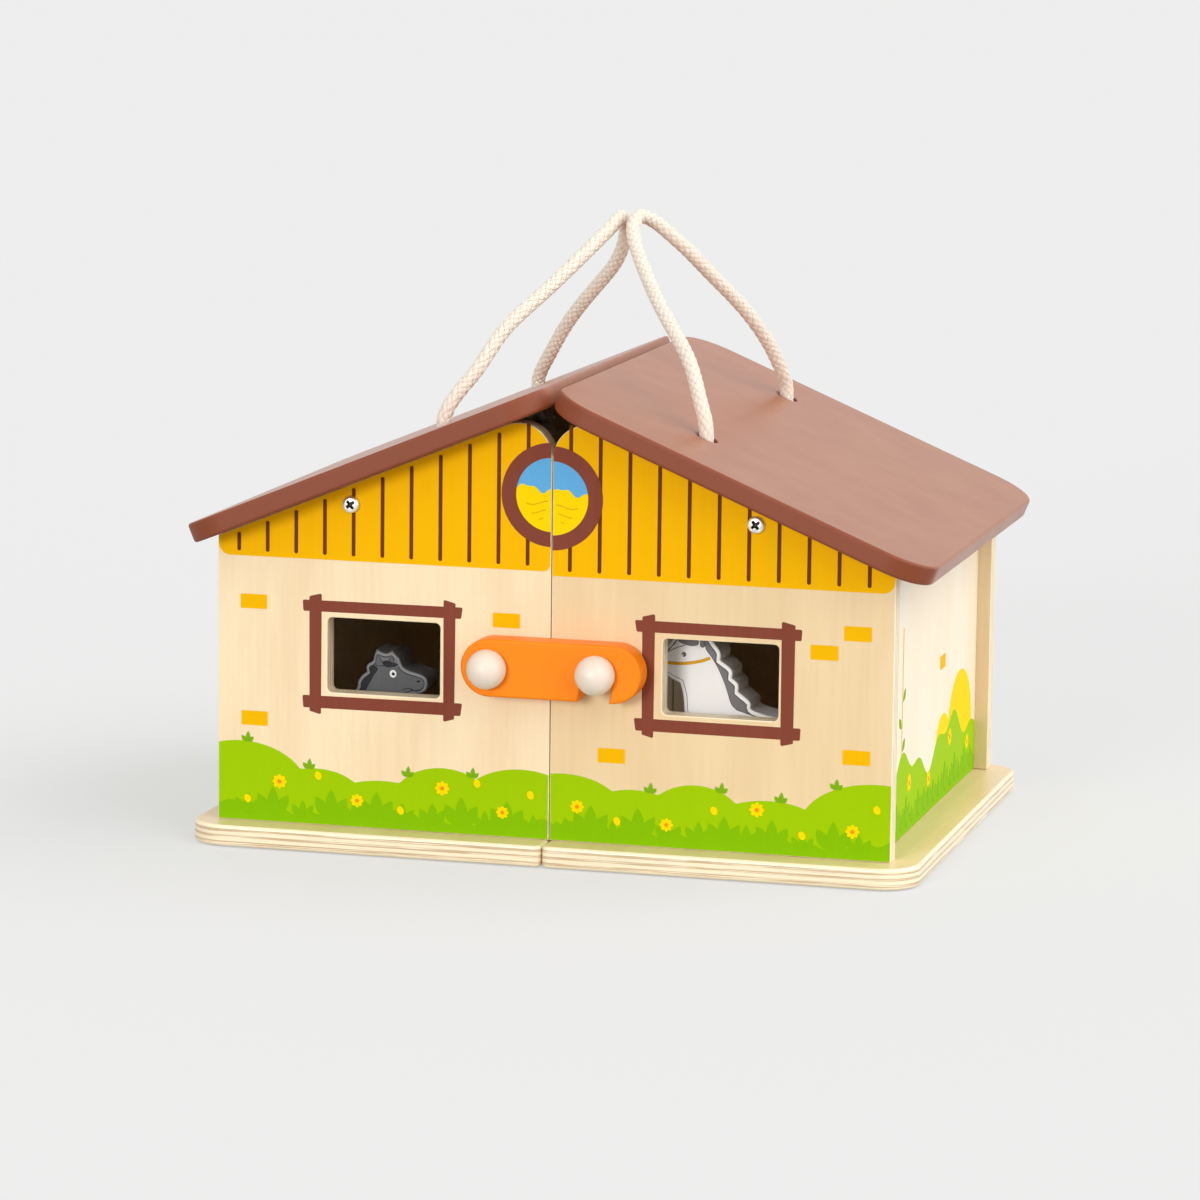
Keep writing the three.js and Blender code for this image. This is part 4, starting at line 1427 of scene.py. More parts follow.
        # Painted shade: the edges at the gable ends are painted darker. The eaves and the seam keep
        # the paint's sheen.
        for normals, rims in zip(shell.normals, shell.rims):
            rims[..., 2] *= smooth_step(np.abs(normals[..., 1]), *self.shaded_edge_from)
        self.lay("roof_board", "roof", ROOF_PAINT, shell, self.roof_place(), Grain(1, 0))

    def batten(self) -> None:
        """The bar under the roof board that the end walls are screwed to."""
        size = self.batten_size
        start = self.thickness + self.glue
        drop = self.glue + size / 2
        run, rise = math.cos(self.slope), math.tan(self.slope)
        middle = self.side.value * (self.batten_offset / run + drop * rise)
        place = self.roof_place().moved(middle, self.depth / 2, -drop - self.roof_thickness / 2)
        upright = Place(place.x_axis, place.z_axis, (0, -1, 0), place.origin)
        outline = Outline.rounded(centred(0, 0, size, size))
        shell = board([outline], self.depth - 2 * start, self.batten_arris)
        self.lay("batten_bar", "roof_batten", BATTEN_WOOD, shell, upright, self.grain(23, 2))

    def build(self) -> None:
        """Makes the boards of this half."""
        self.base()
        self.end_walls()
        self.side_wall()
        self.roof()
        self.batten()


# Prints on the walls


class PrintSheet:
    """Inks printed on one flat face, each ink a thin film a little above the last."""

    film = 0.03
    bite = 0.06

    def __init__(self, name: str, face: Place, body: str, from_behind: bool = False) -> None:
        self.name, self.face, self.body, self.from_behind = name, face, body, from_behind
        self.films: dict[str, Shell] = {}

    def print(self, kind: str, level: int, outlines: Sequence[Outline]) -> None:
        """Prints outlines in one ink, the top of the film at a level above the wood."""
        shell = self.films.setdefault(kind, Shell())
        depth = self.bite + level * self.film
        lift = Place(origin=(0, 0, level * self.film - depth / 2))
        for outline in outlines:
            shell.join(board([outline.mirrored() if self.from_behind else outline], depth), lift)

    def build(self) -> None:
        """Makes one piece for each ink."""
        for kind, shell in self.films.items():
            INKS[kind].dress(shell.make(f"{self.name}_{kind}", self.face), self.body)


def wave(x: Array, base: float, swings: Sequence[Triple]) -> Array:
    """A height that rolls with x: base plus a cos(2 pi (x - shift) / length) for each swing."""
    return base + sum(a * np.cos(FULL_TURN * (x - shift) / length) for a, length, shift in swings)


def hill(x: Array, foot: float, at: float, half: float, top: float) -> Array:
    """Height of a round hill: foot + (top - foot) sqrt(1 - ((x - at) / half)^2)."""
    return foot + (top - foot) * np.sqrt(np.clip(1 - ((x - at) / half) ** 2, 0, 1))


def band(x: Array, top: Array, bottom: float) -> Outline:
    """The area between a level bottom and a top line over increasing x."""
    return Outline.between(np.column_stack([x, top]), np.array([[x[0], bottom], [x[-1], bottom]]))


def leaf(x: float, y: float, length: float, wide: float, turn: float) -> Outline:
    """A pointed leaf from its foot at (x, y), of half width w sin(pi t)^0.9 at a share t of it."""
    t = np.linspace(0, 1, 9)
    half = wide * np.sin(math.pi * t) ** 0.9
    along = np.concatenate([t, t[-2:0:-1]]) * length
    across = np.concatenate([half, -half[-2:0:-1]])
    return Outline.curve(swung(along, across, turn) + (x, y), [0, 8])


def daisy(x: float, y: float, radius: float, petals: int = 8) -> Outline:
    """A flower whose edge lies at r (0.68 + 0.32 |cos(n a / 2)|^0.8) from its middle."""
    angles = even_angles(12 * petals) + x
    reach = radius * (0.68 + 0.32 * np.abs(np.cos(petals * angles / 2)) ** 0.8)
    return Outline.curve(on_circle(angles, reach) + (x, y))


def print_daisies(sheet: PrintSheet, level: int, sign: int, spots: Sequence[Triple]) -> None:
    """Daisies at distances, heights and radii, each with a round heart of a third of its size."""
    sheet.print("petal", level, [daisy(sign * at, z, radius) for at, z, radius in spots])
    sheet.print("heart", level + 1, [
        Outline.ellipse(sign * at, z, 0.3 * radius, 0.3 * radius) for at, z, radius in spots
    ])


@dataclass(frozen=True)
class Turf:
    """A band of grass along the foot of a print, with a row of leafy clumps in front of it."""

    foot: float
    height: float
    swings: Triples
    shift: float
    margins: Pair = (5.0, 4.0)
    pitch: float = 11.3
    sway: float = 1.6
    clump: float = 10.2
    swell: Pair = (3.0, 0.31)
    root: float = 3.0
    slender: float = 0.2
    splay: float = 0.42
    leaves: Pairs = ((-1.3, 0.86), (1.3, 0.86), (0.0, 1.0))

    def print(self, sheet: PrintSheet, level: int, x: Array, sign: int) -> None:
        """Prints the band, then the leaves to one side, to the other, and the upright ones."""
        sheet.print("grass", level, [band(sign * x, wave(x, self.height, self.swings), self.foot)])
        even = np.arange(x[0] + self.margins[0], x[-1] - self.margins[1], self.pitch)
        places = even + self.sway * np.sin(self.shift + even)
        sizes = self.clump + self.swell[0] * np.sin(self.swell[1] * places + self.shift)
        for above, (side, share) in enumerate(self.leaves, 1):
            turn = QUARTER_TURN - sign * self.splay * side
            sheet.print("grass", level + above, [
                leaf(sign * (at + side), self.root, share * size, self.slender * size, turn)
                for at, size in zip(places, sizes)
            ])


@dataclass(frozen=True)
class FrontPrint:
    """The print on one half of the front wall: gable, ring, log frame, bricks and a meadow."""

    half: Half
    margin: float = 0.3
    band_bottom: float = 112.3
    band_corner: float = 5.0
    seam_corner: float = 0.0
    stripe_first: float = 10.2
    stripe_pitch: float = 12.46
    stripe_count: int = 11
    stripe_wide: float = 1.65
    stripe_gap: float = 2.0
    ring_lift: float = 144.0
    ring_outer: float = 21.5
    ring_inner: float = 15.3
    ring_points: int = 40
    sky_overlap: float = 0.3
    furrows: Pairs = ((3.4, 11.0), (7.0, 8.6), (10.2, 5.4))
    furrow_wide: float = 0.5
    frame_outer: Box = (41.0, 49.7, 103.8, 95.4)
    frame_inner: Box = (45.9, 55.2, 98.9, 90.4)
    log_overrun: float = 3.1
    post_overrun: float = 2.7
    log_ease: float = 0.7
    log_skews: Pairs = ((0.55, 0.2), (-0.2, 0), (0.1, -0.3), (-0.2, 0))
    post_skews: tuple[Pairs, Pairs] = (
        ((0.1, 1.4), (-0.1, 0), (0.1, 0.2), (-0.2, -1.2)),
        ((0, 0), (0.1, 1.3), (0.3, -1.4), (-0.2, 0)),
    )
    bricks: Pairs = ()
    brick_size: Triple = (11.6, 6.1, 0.4)
    meadow_foot: float = 0.4
    hill_foot: float = 13.0
    hills: Triples = ()
    tuft_shift: float = 0.0
    flowers: Triples = ()
    buds: Pairs = ()
    bud_shape: Triple = (1.4, 1.8, 0.4)
    sprouts: tuple[float, ...] = ()
    sprout_leaves: Pairs = ((-0.75, 3.6), (0.8, 3.2), (0.05, 4.6))
    sprout_wide: float = 0.95

    def mirrored(self, corners: Sequence[Corner]) -> Outline:
        """An outline given for the right half, on this half's own side."""
        return Outline.rounded(on_side(self.half.side, corners))

    def gable(self, sheet: PrintSheet) -> None:
        """The yellow gable with its brown stripes, rounded at both ends."""
        half, foot = self.half, self.band_bottom + self.stripe_gap
        eases = (self.seam_corner, self.band_corner)
        field = Outline.rounded(half.end_outline(self.margin, self.band_bottom, eases))
        sheet.print("gable", 1, [field])
        width = self.stripe_wide / 2
        bars = []
        for number in range(self.stripe_count):
            at = self.stripe_first + number * self.stripe_pitch
            top = min(half.wall_top(at) - self.stripe_gap, half.wall_top(0) - half.top_radius / 2)
            bars.append(self.mirrored(rectangle(at - width, foot, at + width, top, 0.98 * width)))
        sheet.print("stripe", 2, bars)

    def ring(self, sheet: PrintSheet) -> None:
        """The brown ring across the seam, with a blue sky over a rolling yellow field in it."""
        side, edge, lift = self.half.side.value, self.half.seam + self.margin, self.ring_lift
        within = self.ring_inner + self.sky_overlap

        def half_disc(
            radius: float, low: float = -QUARTER_TURN, high: float = QUARTER_TURN
        ) -> Array:
            """Points on a circle about the seam, from one angle to another."""
            angles = np.linspace(low, high, self.ring_points)
            across = np.maximum(radius * np.cos(angles), edge)
            return np.column_stack([side * across, lift + radius * np.sin(angles)])

        along = np.linspace(edge, self.ring_inner * 0.985, 26)
        roll = wave(along, lift + 2.6, [(1.5, 15.0, 4.0 * side), (0.6, 6.2, 1.0)])
        foot = half_disc(within, -QUARTER_TURN, math.asin(0.16))
        field = Outline.between(foot, np.column_stack([side * along, roll]))
        sheet.print("sky", 3, [Outline.curve(half_disc(within), [0, -1])])
        sheet.print("field", 4, [field])
        ring = Outline.between(half_disc(self.ring_outer), half_disc(self.ring_inner))
        sheet.print("frame", 5, [ring])
        for number, (drop, reach) in enumerate(self.furrows):
            along = np.linspace(edge + 1.2 + number, reach, 14)
            line = np.column_stack([side * along, wave(along, lift - drop, [(0.8, 13.0, 2.0)])])
            thick = (0, self.furrow_wide / 2)
            sheet.print("furrow", 5, [Outline.between(line + thick, line - np.array(thick))])

    def crooked(self, box: Box, skews: Pairs) -> Outline:
        """A rectangle for this half's own side, with each corner moved a little."""
        corners = rectangle(*box, self.log_ease)
        return self.mirrored([(x + dx, y + dy, r) for (x, y, r), (dx, dy) in zip(corners, skews)])

    def window_frame(self, sheet: PrintSheet) -> None:
        """Two logs and two posts round the window, with slightly crooked ends."""
        left, low, right, high = self.frame_outer
        inner_left, inner_low, inner_right, inner_high = self.frame_inner
        over, up = self.log_overrun, self.post_overrun
        sheet.print("frame", 1, [
            self.crooked((left - over, bottom, right + over, top), self.log_skews)
            for bottom, top in ((low, inner_low), (inner_high, high))
        ])
        posts = zip(((left, inner_left), (inner_right, right)), self.post_skews)
        sheet.print("frame", 2, [
            self.crooked((start, low - up, end, high + up), skews) for (start, end), skews in posts
        ])

    def wall_bricks(self, sheet: PrintSheet) -> None:
        """The few loose bricks."""
        sheet.print("brick", 1, [
            self.mirrored(centred(x, z, *self.brick_size)) for x, z in self.bricks
        ])

    def meadow(self, sheet: PrintSheet) -> None:
        """Rolling green with darker grass in front, daisies, buds and sprouts."""
        side, shift = self.half.side.value, self.tuft_shift
        x = np.linspace(self.half.seam + self.margin, self.half.half_span - self.margin, 130)
        top = np.maximum.reduce([hill(x, self.hill_foot, *each) for each in self.hills])
        sheet.print("meadow", 1, [band(side * x, top, self.meadow_foot)])
        swings = ((1.6, 71.0, shift), (0.9, 11.3, shift))
        Turf(self.meadow_foot, 6.4, swings, shift).print(sheet, 2, x, side)
        print_daisies(sheet, 6, side, self.flowers)
        sheet.print("petal", 6, [
            Outline.ellipse(side * at, z, *self.bud_shape) for at, z in self.buds
        ])
        roots = np.interp(self.sprouts, x, top)
        for level, (lean, size) in enumerate(self.sprout_leaves, 2):
            turn = QUARTER_TURN - lean
            sheet.print("sprout", level, [
                leaf(side * at + 0.4 * lean, z - 0.3, size, self.sprout_wide, turn)
                for at, z in zip(self.sprouts, roots)
            ])

    def build(self) -> None:
        """Prints everything on the wall's face."""
        side = self.half.side
        sheet = PrintSheet(f"{side.word}_front_print", facing_front(0), side.body)
        for draw in (self.gable, self.ring, self.window_frame, self.wall_bricks, self.meadow):
            draw(sheet)
        sheet.build()


@dataclass(frozen=True)
class SidePrint:
    """The print on a side wall: a low sun behind a meadow, one brick and a bean stake."""

    half: Half
    margin: float = 0.4
    sun: Triple = (171.0, 24.0, 27.0)
    bush: Triple = (134.0, 22.0, 16.0)
    lowest: float = 2.0
    brick: tuple[float, ...] = (131.0, 61.0, 11.6, 6.0, 0.4)
    stake: tuple[float, ...] = (47.0, 56.5, 1.8, 65.0, 0.6)
    sprouts: Pairs = ((1.2, 58.0), (-1.2, 47.0), (1.2, 37.0))
    sprout_size: Pair = (7.0, 1.9)
    sprout_turn: float = 0.7
    base: float = 27.0
    swings: Triples = ((6.0, 96.0, 150.0), (3.4, 37.0, 12.0))
    turf: Turf = Turf(0.5, 7.0, ((1.6, 80.0, 30.0),), 2.0)
    flowers: Triples = (
        (26.0, 14.0, 3.4), (63.0, 21.0, 3.9), (104.0, 15.0, 3.5), (149.0, 25.0, 3.9),
        (188.0, 16.0, 3.4),
    )

    def build(self) -> None:
        """Prints everything on the outer face of the side wall."""
        half, sign = self.half, self.half.side.value
        face = half.side_place().moved(0, 0, half.thickness / 2)
        sheet = PrintSheet(f"{half.side.word}_side_print", face, half.side.body)
        start = half.thickness + half.glue + self.margin
        end = half.depth - start

        def disc(at: float, lift: float, radius: float) -> Outline:
            """A round shape that ends at the edge of the print."""
            along, up = (on_circle(even_angles(72), radius) + (at, lift)).T
            across = sign * np.clip(along, start, end)
            return Outline.curve(np.column_stack([across, np.maximum(up, self.lowest)]))

        sheet.print("field", 1, [disc(*self.sun)])
        sheet.print("petal", 2, [disc(*self.bush)])
        for kind, (at, *shape) in (("brick", self.brick), ("stake", self.stake)):
            sheet.print(kind, 1, [Outline.rounded(centred(sign * at, *shape))])
        stake = self.stake[0]
        sheet.print("sprout", 2, [
            leaf(
                sign * (stake + lean), lift, *self.sprout_size,
                QUARTER_TURN - sign * self.sprout_turn * lean,
            )
            for lean, lift in self.sprouts
        ])
        x = np.linspace(start, end, 150)
        top = wave(x, self.base, self.swings)
        sheet.print("meadow", 3, [band(sign * x, top, self.turf.foot)])
        self.turf.print(sheet, 4, x, sign)
        print_daisies(sheet, 8, sign, self.flowers)
        sheet.build()


# Latch


@dataclass(frozen=True)
class Latch:
    """The orange hook and the two cream knobs that carry it."""

    lift: float = 73.0
    spacing: float = 46.0
    stand_off: float = 0.6
    thickness: float = 12.0
    half_height: float = 12.0
    end_centre: float = 52.4
    slot: float = 6.5
    seat: float = 0.7
    pivot_hole: float = 5.7
    arris: float = 1.1
    stem: float = 5.5
    head: float = 8.2
    head_out: float = 3.0
    head_gap: float = 0.4
    glue: float = 0.1
    hole_steps: int = 48
    knob_sides: int = 72
    knob_rows: int = 25

    def hook_outline(self) -> Outline:
        """The hook about its pivot: round ends, and a slot whose sides turn about the pivot."""
        seat = -self.seat / self.spacing
        inner, outer = self.spacing - self.slot, self.spacing + self.slot
        top = self.spacing * np.array([math.cos(seat), math.sin(seat)])

        def arc(
            centre: Sequence[float], radius: float, start: float, end: float, sense: int
        ) -> tuple[Array, Array]:
            """Points of an arc with their outward normals, sense 1 where the arc bulges outward."""
            steps = max(3, math.ceil(abs(end - start) / ARC_STEP))
            angles = np.linspace(start, end, steps + 1)
            ring = on_circle(angles)
            return np.array(centre) + radius * ring, sense * ring

        inner_mouth = -math.asin(self.half_height / inner)
        outer_mouth = -math.asin(self.half_height / outer)
        runs = [
            arc((0, 0), self.half_height, QUARTER_TURN, 3 * QUARTER_TURN, 1),
            arc((0, 0), inner, inner_mouth, seat, 1),
            arc(top, self.slot, math.pi + seat, seat, -1),
            arc((0, 0), outer, seat, outer_mouth, -1),
            arc((self.end_centre, 0), self.half_height, -QUARTER_TURN, QUARTER_TURN, 1),
        ]
        points, normals = (np.concatenate(each) for each in zip(*runs))
        keep = np.linalg.norm(np.roll(points, -1, axis=0) - points, axis=1) > CLOSE
        sharp_starts = np.cumsum([0] + [len(run[0]) for run in runs])
        for index in (sharp_starts[1], sharp_starts[4] - 1):
            normals[index] = np.nan
        return Outline.through(points[keep], normals[keep])

    def hook(self) -> None:
        """The hook, which hangs on the pivot knob's stem."""
        radius = self.pivot_hole
        hole = Outline.ellipse(0, 0, radius, radius, steps=self.hole_steps).as_hole()
        middle = -self.stand_off - self.thickness / 2
        place = facing_front(middle).moved(-self.spacing / 2, self.lift, 0)
        shell = board([self.hook_outline(), hole], self.thickness, self.arris, bands=5)
        ORANGE_PAINT.dress(shell.make("hook_bar", place), "latch_hook", "latch_hook")

    def knob(self, side: Side, node: str) -> None:
        """A turned knob: a stem from the wall, and a ball flattened at the back."""
        face = self.stand_off + self.thickness
        centre, flat = face + self.head_out, face + self.head_gap
        start = -math.asin((centre - flat) / self.head)
        angles = np.linspace(start, QUARTER_TURN, self.knob_rows)
        ball = on_circle(angles, self.head) + (0, centre)
        ball[-1, 0] = 0
        radial = on_circle(angles)
        radial[0] = np.nan
        stem = [(0, self.glue), (self.stem, self.glue), (self.stem, flat)]
        normals = np.concatenate([np.full((len(stem), 2), np.nan), radial])
        section = Outline.through(np.concatenate([stem, ball]), normals)
        place = facing_front(0).moved(side.value * self.spacing / 2, self.lift, 0)
        made = turned(section, self.knob_sides).make(f"{node}_turned", place)
        KNOB_PAINT.dress(made, side.body, node)

    def build(self) -> None:
        """Makes the hook and both knobs."""
        self.hook()
        self.knob(Side.LEFT, "pivot_knob")
        self.knob(Side.RIGHT, "catch_knob")


# Screws and hinges


@dataclass(frozen=True)
class Screw:
    """A screw along +z with its head at the bottom of its own frame, and a cross recess in it."""

    head: float
    height: float
    shank: float
    length: float
    cross_long: float
    cross_wide: float
    cross_deep: float
    countersunk: bool
    sides: int = 96
    rows: int = 26
    dome: float = 3.4
    cross_soft: float = 0.22
    cross_fade: float = 0.45
    point: float = 1.6

    def recess(self, places: Array) -> Array:
        """How deep the cross is at each point of the head's face, zero elsewhere."""
        x, y = np.abs(places[:, 0]), np.abs(places[:, 1])
        half, end = self.cross_wide / 2, self.cross_long / 2
        soft, fade = self.cross_soft * self.cross_wide, self.cross_fade * end
        arms = [
            smooth_step(half + soft - across, 0, 2 * soft) * smooth_step(end - along, 0, fade)
            for across, along in ((x, y), (y, x))
        ]
        return self.cross_deep * np.maximum(*arms)

    def shell(self) -> Shell:
        """The screw, with the cross carved into its face.

        A pan head's face follows (r / R)^p + (z / H)^p = 1, a countersunk one is flat.
        """
        share = np.sin(np.linspace(0, QUARTER_TURN, self.rows))
        r = self.head * share
        z = -self.height * (1 - share**self.dome) ** (1 / self.dome) * (not self.countersunk)
        neck = self.height if self.countersunk else 0.0
        tip = self.length - self.point * self.shank
        rest = [(self.shank, neck), (self.shank, tip), (0, self.length)]
        points = np.concatenate([np.column_stack([r, z]), rest])

        def carve(places: Array) -> Array:
            """Depth of the recess on the face, upward into the head."""
            on_face = np.arange(len(places)) < 1 + (self.rows - 1) * self.sides
            return np.where(on_face, -self.recess(places), 0)

        return turned(Outline.through(points, np.full_like(points, np.nan)), self.sides, carve)

    def build(self, node: str, place: Place, finish: Finish, body: str) -> None:
        """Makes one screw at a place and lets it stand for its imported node."""
        name = f"{node}_{'sunk' if self.countersunk else 'pan'}"
        finish.dress(self.shell().make(name, place, Grain(2, 0), own_normals=False), body, node)


PAN_SCREW = Screw(
    head=3.7, height=2.4, shank=1.75, length=22.0, cross_long=4.7, cross_wide=0.95,
    cross_deep=1.4, countersunk=False,
)
BASE_SCREW = Screw(
    head=3.3, height=2.0, shank=1.6, length=23.6, cross_long=4.0, cross_wide=0.9,
    cross_deep=1.1, countersunk=True, sides=64, rows=18,
)
LEAF_SCREW = Screw(
    head=2.2, height=0.9, shank=1.1, length=7.5, cross_long=2.7, cross_wide=0.6,
    cross_deep=0.5, countersunk=True, sides=64, rows=18,
)


@dataclass(frozen=True)
class Fastening:
    """The screws that hold one half together."""

    half: Half
    cross_turn: float = math.radians(38)
    sink: float = 0.02

    def wall_screws(self) -> None:
        """A pan head screw through each end wall into the batten."""
        half, side = self.half, self.half.side
        drop = (half.glue + half.batten_size / 2) / math.cos(half.slope)
        lift = half.ridge_lift - half.batten_offset * math.tan(half.slope) - drop
        cos, sin = math.cos(self.cross_turn), math.sin(self.cross_turn)
        ends = ((1, FRONT - half.glue), (-1, BACK + half.glue))
        for number, (sense, face) in enumerate(ends, 1):
            origin = (side.value * half.batten_offset, face, BASE_TOP + lift)
            place = Place((cos, 0, sin), (sense * sin, 0, -sense * cos), (0, sense, 0), origin)
            node = f"{side.word}_wall_screw_{number}"
            PAN_SCREW.build(node, place, SCREW_STEEL, side.body)

    def base_screws(self) -> None:
        """Countersunk screws up through the base into the walls."""
        half, side = self.half, self.half.side
        front, back = half.thickness / 2, half.depth - half.thickness / 2
        near, far = half.screw_inset, half.half_span - half.screw_inset
        spots = [(x, y) for x in (near, far) for y in (front, back)]
        for number, (x, y) in enumerate([*spots, (half.side_middle, half.depth / 2)], 1):
            place = Place(origin=(side.value * x, FRONT + y, self.sink))
            node = f"{side.word}_base_screw_{number}"
            BASE_SCREW.build(node, place, SCREW_STEEL, side.body)

    def build(self) -> None:
        """Makes all screws of this half but those of the hinges."""
        self.wall_screws()
        self.base_screws()


@dataclass(frozen=True)
class Hinges:
    """Two butt hinges on the back walls, with their leaves, pins and screws."""

    lifts: Pair = (30.0, 118.0)
    leaf_wide: float = 14.0
    leaf_high: float = 26.0
    leaf_thick: float = 1.2
    barrel: float = 2.6
    pin: float = 1.2
    play: float = 0.06
    pin_head: float = 2.0
    head_high: float = 0.8
    gap: float = 0.2
    screw_offset: float = 8.6
    screw_spacing: float = 15.0
    glue: float = 0.1
    pocket: float = 2.35
    clear: float = 0.1
    leaf_corner: float = 2.0
    leaf_arris: float = 0.12
    tongue_overlap: float = 0.3
    tongue_share: float = 0.96
    barrel_round: float = 0.2
    head_round: float = 0.5
    neck_round: float = 0.15
    end_round: float = 0.3
    sides: int = 40

    def leaf(self, side: Side, lift: float, number: int) -> None:
        """One leaf: a plate with two screw holes, tongues and the barrels that it owns."""
        sign, start, outer = side.value, self.barrel + self.gap, -side.value * self.leaf_wide
        half, third = self.leaf_high / 2, self.leaf_high / 3
        reach = third / 2 - self.clear
        back = BACK - FRONT + self.glue
        rises = (-self.screw_spacing / 2, self.screw_spacing / 2)
        holes = [
            Outline.ellipse(-sign * self.screw_offset, rise, self.pocket, self.pocket).as_hole()
            for rise in rises
        ]
        plate = Outline.rounded([
            (x, y, self.leaf_corner if abs(x - outer) < CLOSE else 0.0)
            for x, y, _ in rectangle(-sign * start, -half, outer, half)
        ])
        shell = board([plate, *holes], self.leaf_thick, self.leaf_arris, bands=2)
        bore = self.pin + (self.play if side is Side.RIGHT else 0.0)
        ring = Outline.rounded([
            (bore, -reach, 0), (self.barrel, -reach, self.barrel_round),
            (self.barrel, reach, self.barrel_round), (bore, reach, 0),
        ])
        end = start + self.tongue_overlap
        tongue = Outline.rounded(rectangle(-sign * self.pin, -reach, -sign * end, reach))
        for middle in ((-third, third) if side is Side.LEFT else (0.0,)):
            origin = (0, middle, self.barrel - self.leaf_thick / 2)
            barrel = turned(ring, self.sides)
            shell.join(barrel, Place((1, 0, 0), (0, 0, -1), (0, 1, 0), origin))
            arm = board([tongue], self.tongue_share * self.leaf_thick)
            shell.join(arm, Place(origin=(0, middle, 0)))
        place = facing_back(back + self.leaf_thick / 2).moved(0, lift, 0)
        node = f"{side.word}_hinge_leaf_{number}"
        HINGE_STEEL.dress(shell.make(f"{node}_plate", place), side.body, node)
        for index, rise in enumerate(rises, 2 * number - 1):
            spot = facing_front(back + self.leaf_thick).moved(
                sign * self.screw_offset, lift + rise, 0
            )
            node = f"{side.word}_hinge_screw_{index}"
            LEAF_SCREW.build(node, spot, HINGE_STEEL, side.body)

    def pins(self) -> None:
        """The two pins, each with its head below the lowest barrel."""
        top = self.leaf_high / 2
        neck, foot = -top - self.clear, -top - self.head_high
        section = Outline.rounded([
            (0, foot, 0), (self.pin_head, foot, self.head_round),
            (self.pin_head, neck, self.neck_round), (self.pin, neck, 0),
            (self.pin, top, self.end_round), (0, top, 0),
        ])
        for number, lift in enumerate(self.lifts, 1):
            place = Place(origin=(0, BACK + self.glue + self.barrel, BASE_TOP + lift))
            made = turned(section, self.sides).make(f"hinge_pin_{number}_turned", place)
            HINGE_STEEL.dress(made, Side.LEFT.body, f"hinge_pin_{number}")

    def build(self) -> None:
        """Makes both hinges."""
        for side in Side:
            for number, lift in enumerate(self.lifts, 1):
                self.leaf(side, lift, number)
        self.pins()


# Horses


@dataclass(frozen=True)
class Horse:
    """A standing horse cut from thick board, printed on both faces."""

    name: str
    side: Side
    board_finish: Finish
    length: float
    height: float
    rump_gap: float
    shares: Pairs
    sharp: tuple[int, ...]
    thickness: float = 18.0
    set_back: float = 20.0
    arris: float = 0.8
    foot: float = 0.1

    def outline(self) -> Outline:
        """The cut outline from its shares of length, from rump to muzzle, and of height."""
        sign = self.side.value
        half = Half(self.side)
        rump = sign * (half.half_span - half.side_inset - half.thickness - self.rump_gap)
        shares = np.array(self.shares)
        points = np.column_stack([
            rump - sign * shares[:, 0] * self.length, self.foot + shares[:, 1] * self.height,
        ])
        return Outline.flowing(points, self.sharp)

    def build(self, prints: Callable[[PrintSheet, Outline], None]) -> None:
        """Makes the board, then its prints."""
        outline = self.outline()
        place = facing_front(self.set_back + self.thickness / 2)
        made = board([outline], self.thickness, self.arris).make(f"{self.name}_board", place)
        self.board_finish.dress(made, self.side.body, self.name)
        behind = facing_back(self.set_back + self.thickness)
        for sheet in (
            PrintSheet(f"{self.name}_print", facing_front(self.set_back), self.side.body),
            PrintSheet(f"{self.name}_back_print", behind, self.side.body, True),
        ):
            prints(sheet, outline)
            sheet.build()


def ribbon(points: Sequence[Pair], width: float) -> Outline:
    """A printed line of even width along points, with square ends."""
    knots = np.array(points, float)
    line = even_path(np.column_stack([knots, np.zeros(len(knots))]), spacing=0.7)[:, :2]
    ahead = unit(np.gradient(line, axis=0))
    across = np.column_stack([ahead[:, 1], -ahead[:, 0]]) * width / 2
    return Outline.between(line + across, line - across)


def smooth_patch(points: Sequence[Pair], sharp: Sequence[int] = ()) -> Outline:
    """A printed patch with a smooth edge through points, with corners where they are named."""
    return Outline.flowing(np.array(points, float), sharp)


def edge_patch(
    outline: Outline, inset: float, stretch: slice, sharp: Sequence[int],
    inner: Sequence[Pair],
) -> Outline:
    """A printed patch that follows a stretch of the cut edge from inside, then its own smooth edge.

    Args:
        outline: the board's cut outline.
        inset: how far inside it the patch keeps.
        stretch: which of its points the patch follows.
        sharp: where among those the edge has corners.
        inner: the points of the patch's own edge, from the stretch's end back to its start.

    Returns:
        The patch.
    """
    along = outline.grown(-inset).points[stretch]
    own = len(along)
    corners = [0, *sharp, own - 1, own, own + len(inner) - 1]
    return Outline.flowing(np.concatenate([along, np.array(inner, float)]), corners, steps=3)


